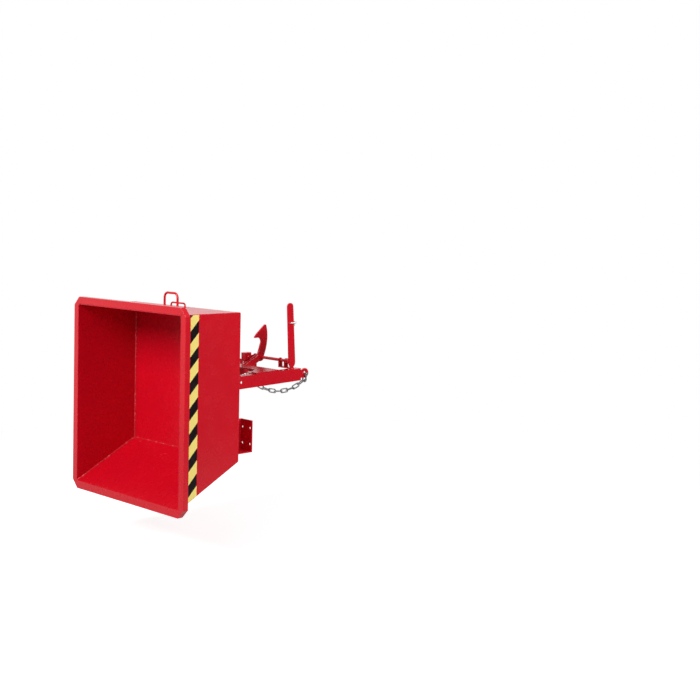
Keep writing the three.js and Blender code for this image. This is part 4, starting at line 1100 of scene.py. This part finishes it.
class HOPPER_OT_chain(bpy.types.Operator):
    """Bend the chain's links, the shackle and the end hook from round wire"""

    bl_idname = "hopper.chain"
    bl_label = "Safety chain"

    wire = 3.5 * MM

    def execute(self, context):
        for number in range(1, 12):
            self.link(f"chain_link_{number:02d}")
        self.shackle()
        self.hook()
        return {"FINISHED"}

    def link(self, node):
        """A link lies where the CAD node does: its long and its wide direction are the first two main
        directions of the node's points. A half circle at each end joins two straights, and one straight
        has the swelling of its butt weld."""
        mesh = frame["nodes"][node].data
        points = np.empty(len(mesh.vertices) * 3, np.float32)
        mesh.vertices.foreach_get("co", points)
        points = points.reshape(-1, 3).astype(float)
        centre = (points.min(0) + points.max(0)) / 2
        _, _, ways = np.linalg.svd(points - points.mean(0), full_matrices=False)
        angle = np.linspace(-np.pi / 2, np.pi / 2, 13)
        radius, straight, weld = 9.5 * MM, 19 * MM, 2.6 * MM
        rounded_end = np.stack([straight + radius * np.cos(angle), radius * np.sin(angle)], -1)
        side = np.linspace(1, -1, 12)[1:-1, None] * (straight, 0) + (0, radius)
        line = np.concatenate([rounded_end, side, -rounded_end, -side])
        path = centre + line[:, :1] * ways[0] + line[:, 1:] * ways[1]
        from_weld = np.linalg.norm(line - (0, radius), axis=1)
        swell = 1 + 0.16 * np.exp(-((from_weld / weld) ** 2))
        grid = carry(path, circle(self.wire, 14), ways[2], True, swell)
        build_piece(node + "_wire", [shell(grid, True)], [node], BODY_OF[node], "zinc", sharp=60)

    def shackle(self):
        """A bow of round bar whose two ends are flattened eyes, on a turned pin with a head and a nut
        end."""
        low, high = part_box("shackle_pin")
        pin_x, pin_z = (low.x + high.x) / 2, (low.z + high.z) / 2
        lug_low, lug_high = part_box("rear_lug_left")
        middle = (lug_low.y + lug_high.y) / 2
        half_wide, deep, top, bar = 12 * MM, 30 * MM, 4 * MM, 4.5 * MM
        angle = -np.linspace(0, np.pi, 25)
        arc = np.stack([half_wide * np.cos(angle), half_wide * np.sin(angle) - deep], -1)
        line = np.concatenate([[(half_wide, -top)], arc, [(-half_wide, -top)]])
        path = np.stack([np.full(len(line), pin_x), middle + line[:, 0], pin_z + line[:, 1]], -1)
        shells = [shell(carry(path, circle(bar, 16), (1, 0, 0)))]
        eye = [(-bar, 7.6 * MM), (-3.4 * MM, 9 * MM), (3.4 * MM, 9 * MM), (bar, 7.6 * MM)]
        for _, sign in SIDES:
            shells.append(shell(turned(eye, (pin_x, middle + sign * half_wide, pin_z), (0, 1, 0))))
        build_piece("shackle_bow_wire", shells, ["shackle_bow"], BODY_OF["shackle_bow"], "zinc", sharp=30)
        head_y = high.y - 4 * MM
        profile = [
            (low.y, 4 * MM),
            (low.y + 1 * MM, 5 * MM),
            (head_y, 5 * MM),
            (head_y, 8 * MM),
            (high.y - 1.2 * MM, 8 * MM),
            (high.y, 6.4 * MM),
        ]
        pin = shell(turned(profile, (pin_x, 0, pin_z), (0, 1, 0)))
        build_piece("turned_shackle_pin", [pin], ["shackle_pin"], BODY_OF["shackle_pin"], "zinc", sharp=30)

    def hook(self):
        """An S of round bar: a half circle over the right lug's hole, a straight, and a half circle below
        that holds the last link."""
        low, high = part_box("chain_hook")
        lug_low, lug_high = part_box("rear_lug_right")
        middle, bend = (lug_low.y + lug_high.y) / 2, 10 * MM
        upper, lower = high.z - bend - self.wire, low.z + bend + self.wire
        over = np.linspace(np.pi, 0, 21)
        under = np.linspace(np.pi, 2 * np.pi, 21)
        line = np.concatenate(
            [
                [(middle - bend, upper - 9 * MM)],
                np.stack([middle + bend * np.cos(over), upper + bend * np.sin(over)], -1),
                np.stack([middle + 2 * bend + bend * np.cos(under), lower + bend * np.sin(under)], -1),
            ]
        )
        path = np.stack([np.full(len(line), (low.x + high.x) / 2), line[:, 0], line[:, 1]], -1)
        bar = shell(carry(path, circle(self.wire, 16), (1, 0, 0)))
        build_piece("chain_hook_wire", [bar], ["chain_hook"], BODY_OF["chain_hook"], "zinc", sharp=50)


class HOPPER_OT_welds(bpy.types.Operator):
    """Lay the weld beads on the bucket, the frame and the release gear"""

    bl_idname = "hopper.welds"
    bl_label = "Weld beads"

    def execute(self, context):
        size = context.scene.hopper_sizes.weld_size
        for name, beads, body in (
            ("bucket_welds", self.bucket(size), "bucket"),
            ("frame_welds", self.frame(size), "frame"),
            ("release_welds", self.release(size), BODY_OF["release_lever"]),
        ):
            welds = build_piece(name, beads, [], body, "red_enamel", sharp=80)
            welds.data.materials[0] = bpy.data.materials["Red enamel on welds"]
        return {"FINISHED"}

    def bucket(self, size):
        """Beads along the tub's inner corners and front fold, round the feet of both loops and along the
        plates and lugs under the floor. Places are level and in millimetres, as the bucket's are."""

        def lay(points, share, upright):
            """A bead along these places, turned with the bucket, its radius a share of the usual one."""
            return bead(tipped(np.array(points) * MM), size * share, upright)

        wide, long = (0, 1, 0), (1, 0, 0)
        beads = []
        inner = tub_line(SHEET + 0.6)
        for _, sign in SIDES:
            corner = np.full(len(inner), sign * (WALL_OUT - SHEET - 0.9))
            beads.append(lay(np.stack([inner[:, 0], corner, inner[:, 1]], -1), 1.3, wide))
            # the foot plate's web and its front end
            beads.append(lay([(180, sign * 341.5, FLOOR), (326, sign * 341.5, FLOOR)], 0.9, wide))
            beads.append(lay([(333.5, sign * 340, FLOOR), (333.5, sign * 420, FLOOR)], 0.9, long))
            # both faces of the outer and of the inner hinge lug
            for face in (281, 289, 229, 237):
                beads.append(lay([(-44, sign * face, FLOOR), (44, sign * face, FLOOR)], 0.8, wide))
            for _, bar, _, span, above, _ in WALL_LOOPS:
                centre = tipped(np.array((REAR, sign * (span - bar) / 2, FLOOR + above)) * MM)
                axis = tipped((1, 0, 0)) - tipped((0, 0, 0))
                beads.append(ring_bead(centre, axis, bar / 2 * MM + size * 0.25, size * 0.75))
        # the seam that closes the inner side of the fold between the floor and the slanted front, half way
        # along the second arc of the line, whose first point is the rear wall's end
        fold = tub_line(SHEET)[1 + (FOLD_STEPS + 1) + FOLD_STEPS // 2]
        beads.append(lay([(fold[0], -430, fold[1]), (fold[0], 430, fold[1])], 0.7, long))
        return beads

    def frame(self, size):
        """Beads where the cross plates end on the rails, at the cheeks, and round the foot of the
        bracket. Places are in millimetres."""

        def lay(*points):
            """A bead along these places, its radius three quarters of the usual one."""
            return bead(np.array(points) * MM, size * 0.75)

        beads = []
        for _, sign in SIDES:
            # both edges of the middle cross plate and of the front cross bar
            for x in (-77.5, 77.5, 184, 224):
                beads.append(lay((x, sign * 239, 0), (x, sign * 279, 0)))
            beads.append(lay((-77, sign * 13, 8), (-77.5, sign * 13, 0)))
        for x in (-201, -175):
            beads.append(lay((x, 239, 0), (x, 262, 0)))
        beads.append(lay((-201, 262, 0), (-175, 262, 0)))
        return beads

    def release(self, size):
        """Rings where the hook, the arm and the lever's hub are welded to the shaft: places across and
        radii in millimetres, round the bar of 16 mm and the hub of 28 mm."""
        rings = []
        for y, radius in ((5, 8.4), (-5, 8.4), (216, 8.4), (242, 14.4), (-34.5, 8.4)):
            centre = SHAFT + np.array((0, y * MM, 0))
            rings.append(ring_bead(centre, (0, 1, 0), radius * MM, size * 0.7))
        return rings


class HOPPER_PT_panel(bpy.types.Panel):
    """Shows the settings and a button for each step that builds the pieces"""

    bl_idname = "HOPPER_PT_panel"
    bl_label = "Self dumping hopper"
    bl_space_type = "VIEW_3D"
    bl_region_type = "UI"
    bl_category = "Hopper"

    def draw(self, context):
        scene = context.scene
        for settings in (scene.hopper_finishes, scene.hopper_sizes, scene.hopper_stage):
            box = self.layout.box()
            for name in settings.__annotations__:
                box.prop(settings, name)
        for operator in OPERATORS:
            self.layout.operator(operator.bl_idname)


SETTINGS = (HopperFinishes, HopperSizes, HopperStage)
OPERATORS = (
    HOPPER_OT_finishes,
    HOPPER_OT_stage,
    HOPPER_OT_rope,
    HOPPER_OT_bucket,
    HOPPER_OT_strips,
    HOPPER_OT_loops,
    HOPPER_OT_feet,
    HOPPER_OT_hinges,
    HOPPER_OT_frame,
    HOPPER_OT_buffers,
    HOPPER_OT_release,
    HOPPER_OT_counterweight,
    HOPPER_OT_lugs,
    HOPPER_OT_chain,
    HOPPER_OT_welds,
)


def register():
    for part in (*SETTINGS, *OPERATORS, HOPPER_PT_panel):
        bpy.utils.register_class(part)
    bpy.types.Scene.hopper_finishes = bpy.props.PointerProperty(type=HopperFinishes)
    bpy.types.Scene.hopper_sizes = bpy.props.PointerProperty(type=HopperSizes)
    bpy.types.Scene.hopper_stage = bpy.props.PointerProperty(type=HopperStage)


def unregister():
    del bpy.types.Scene.hopper_stage
    del bpy.types.Scene.hopper_sizes
    del bpy.types.Scene.hopper_finishes
    for part in reversed((*SETTINGS, *OPERATORS, HOPPER_PT_panel)):
        bpy.utils.unregister_class(part)


def main():
    register()
    for operator in OPERATORS:
        group, name = operator.bl_idname.split(".")
        getattr(getattr(bpy.ops, group), name)()


if __name__ == "__main__":
    main()
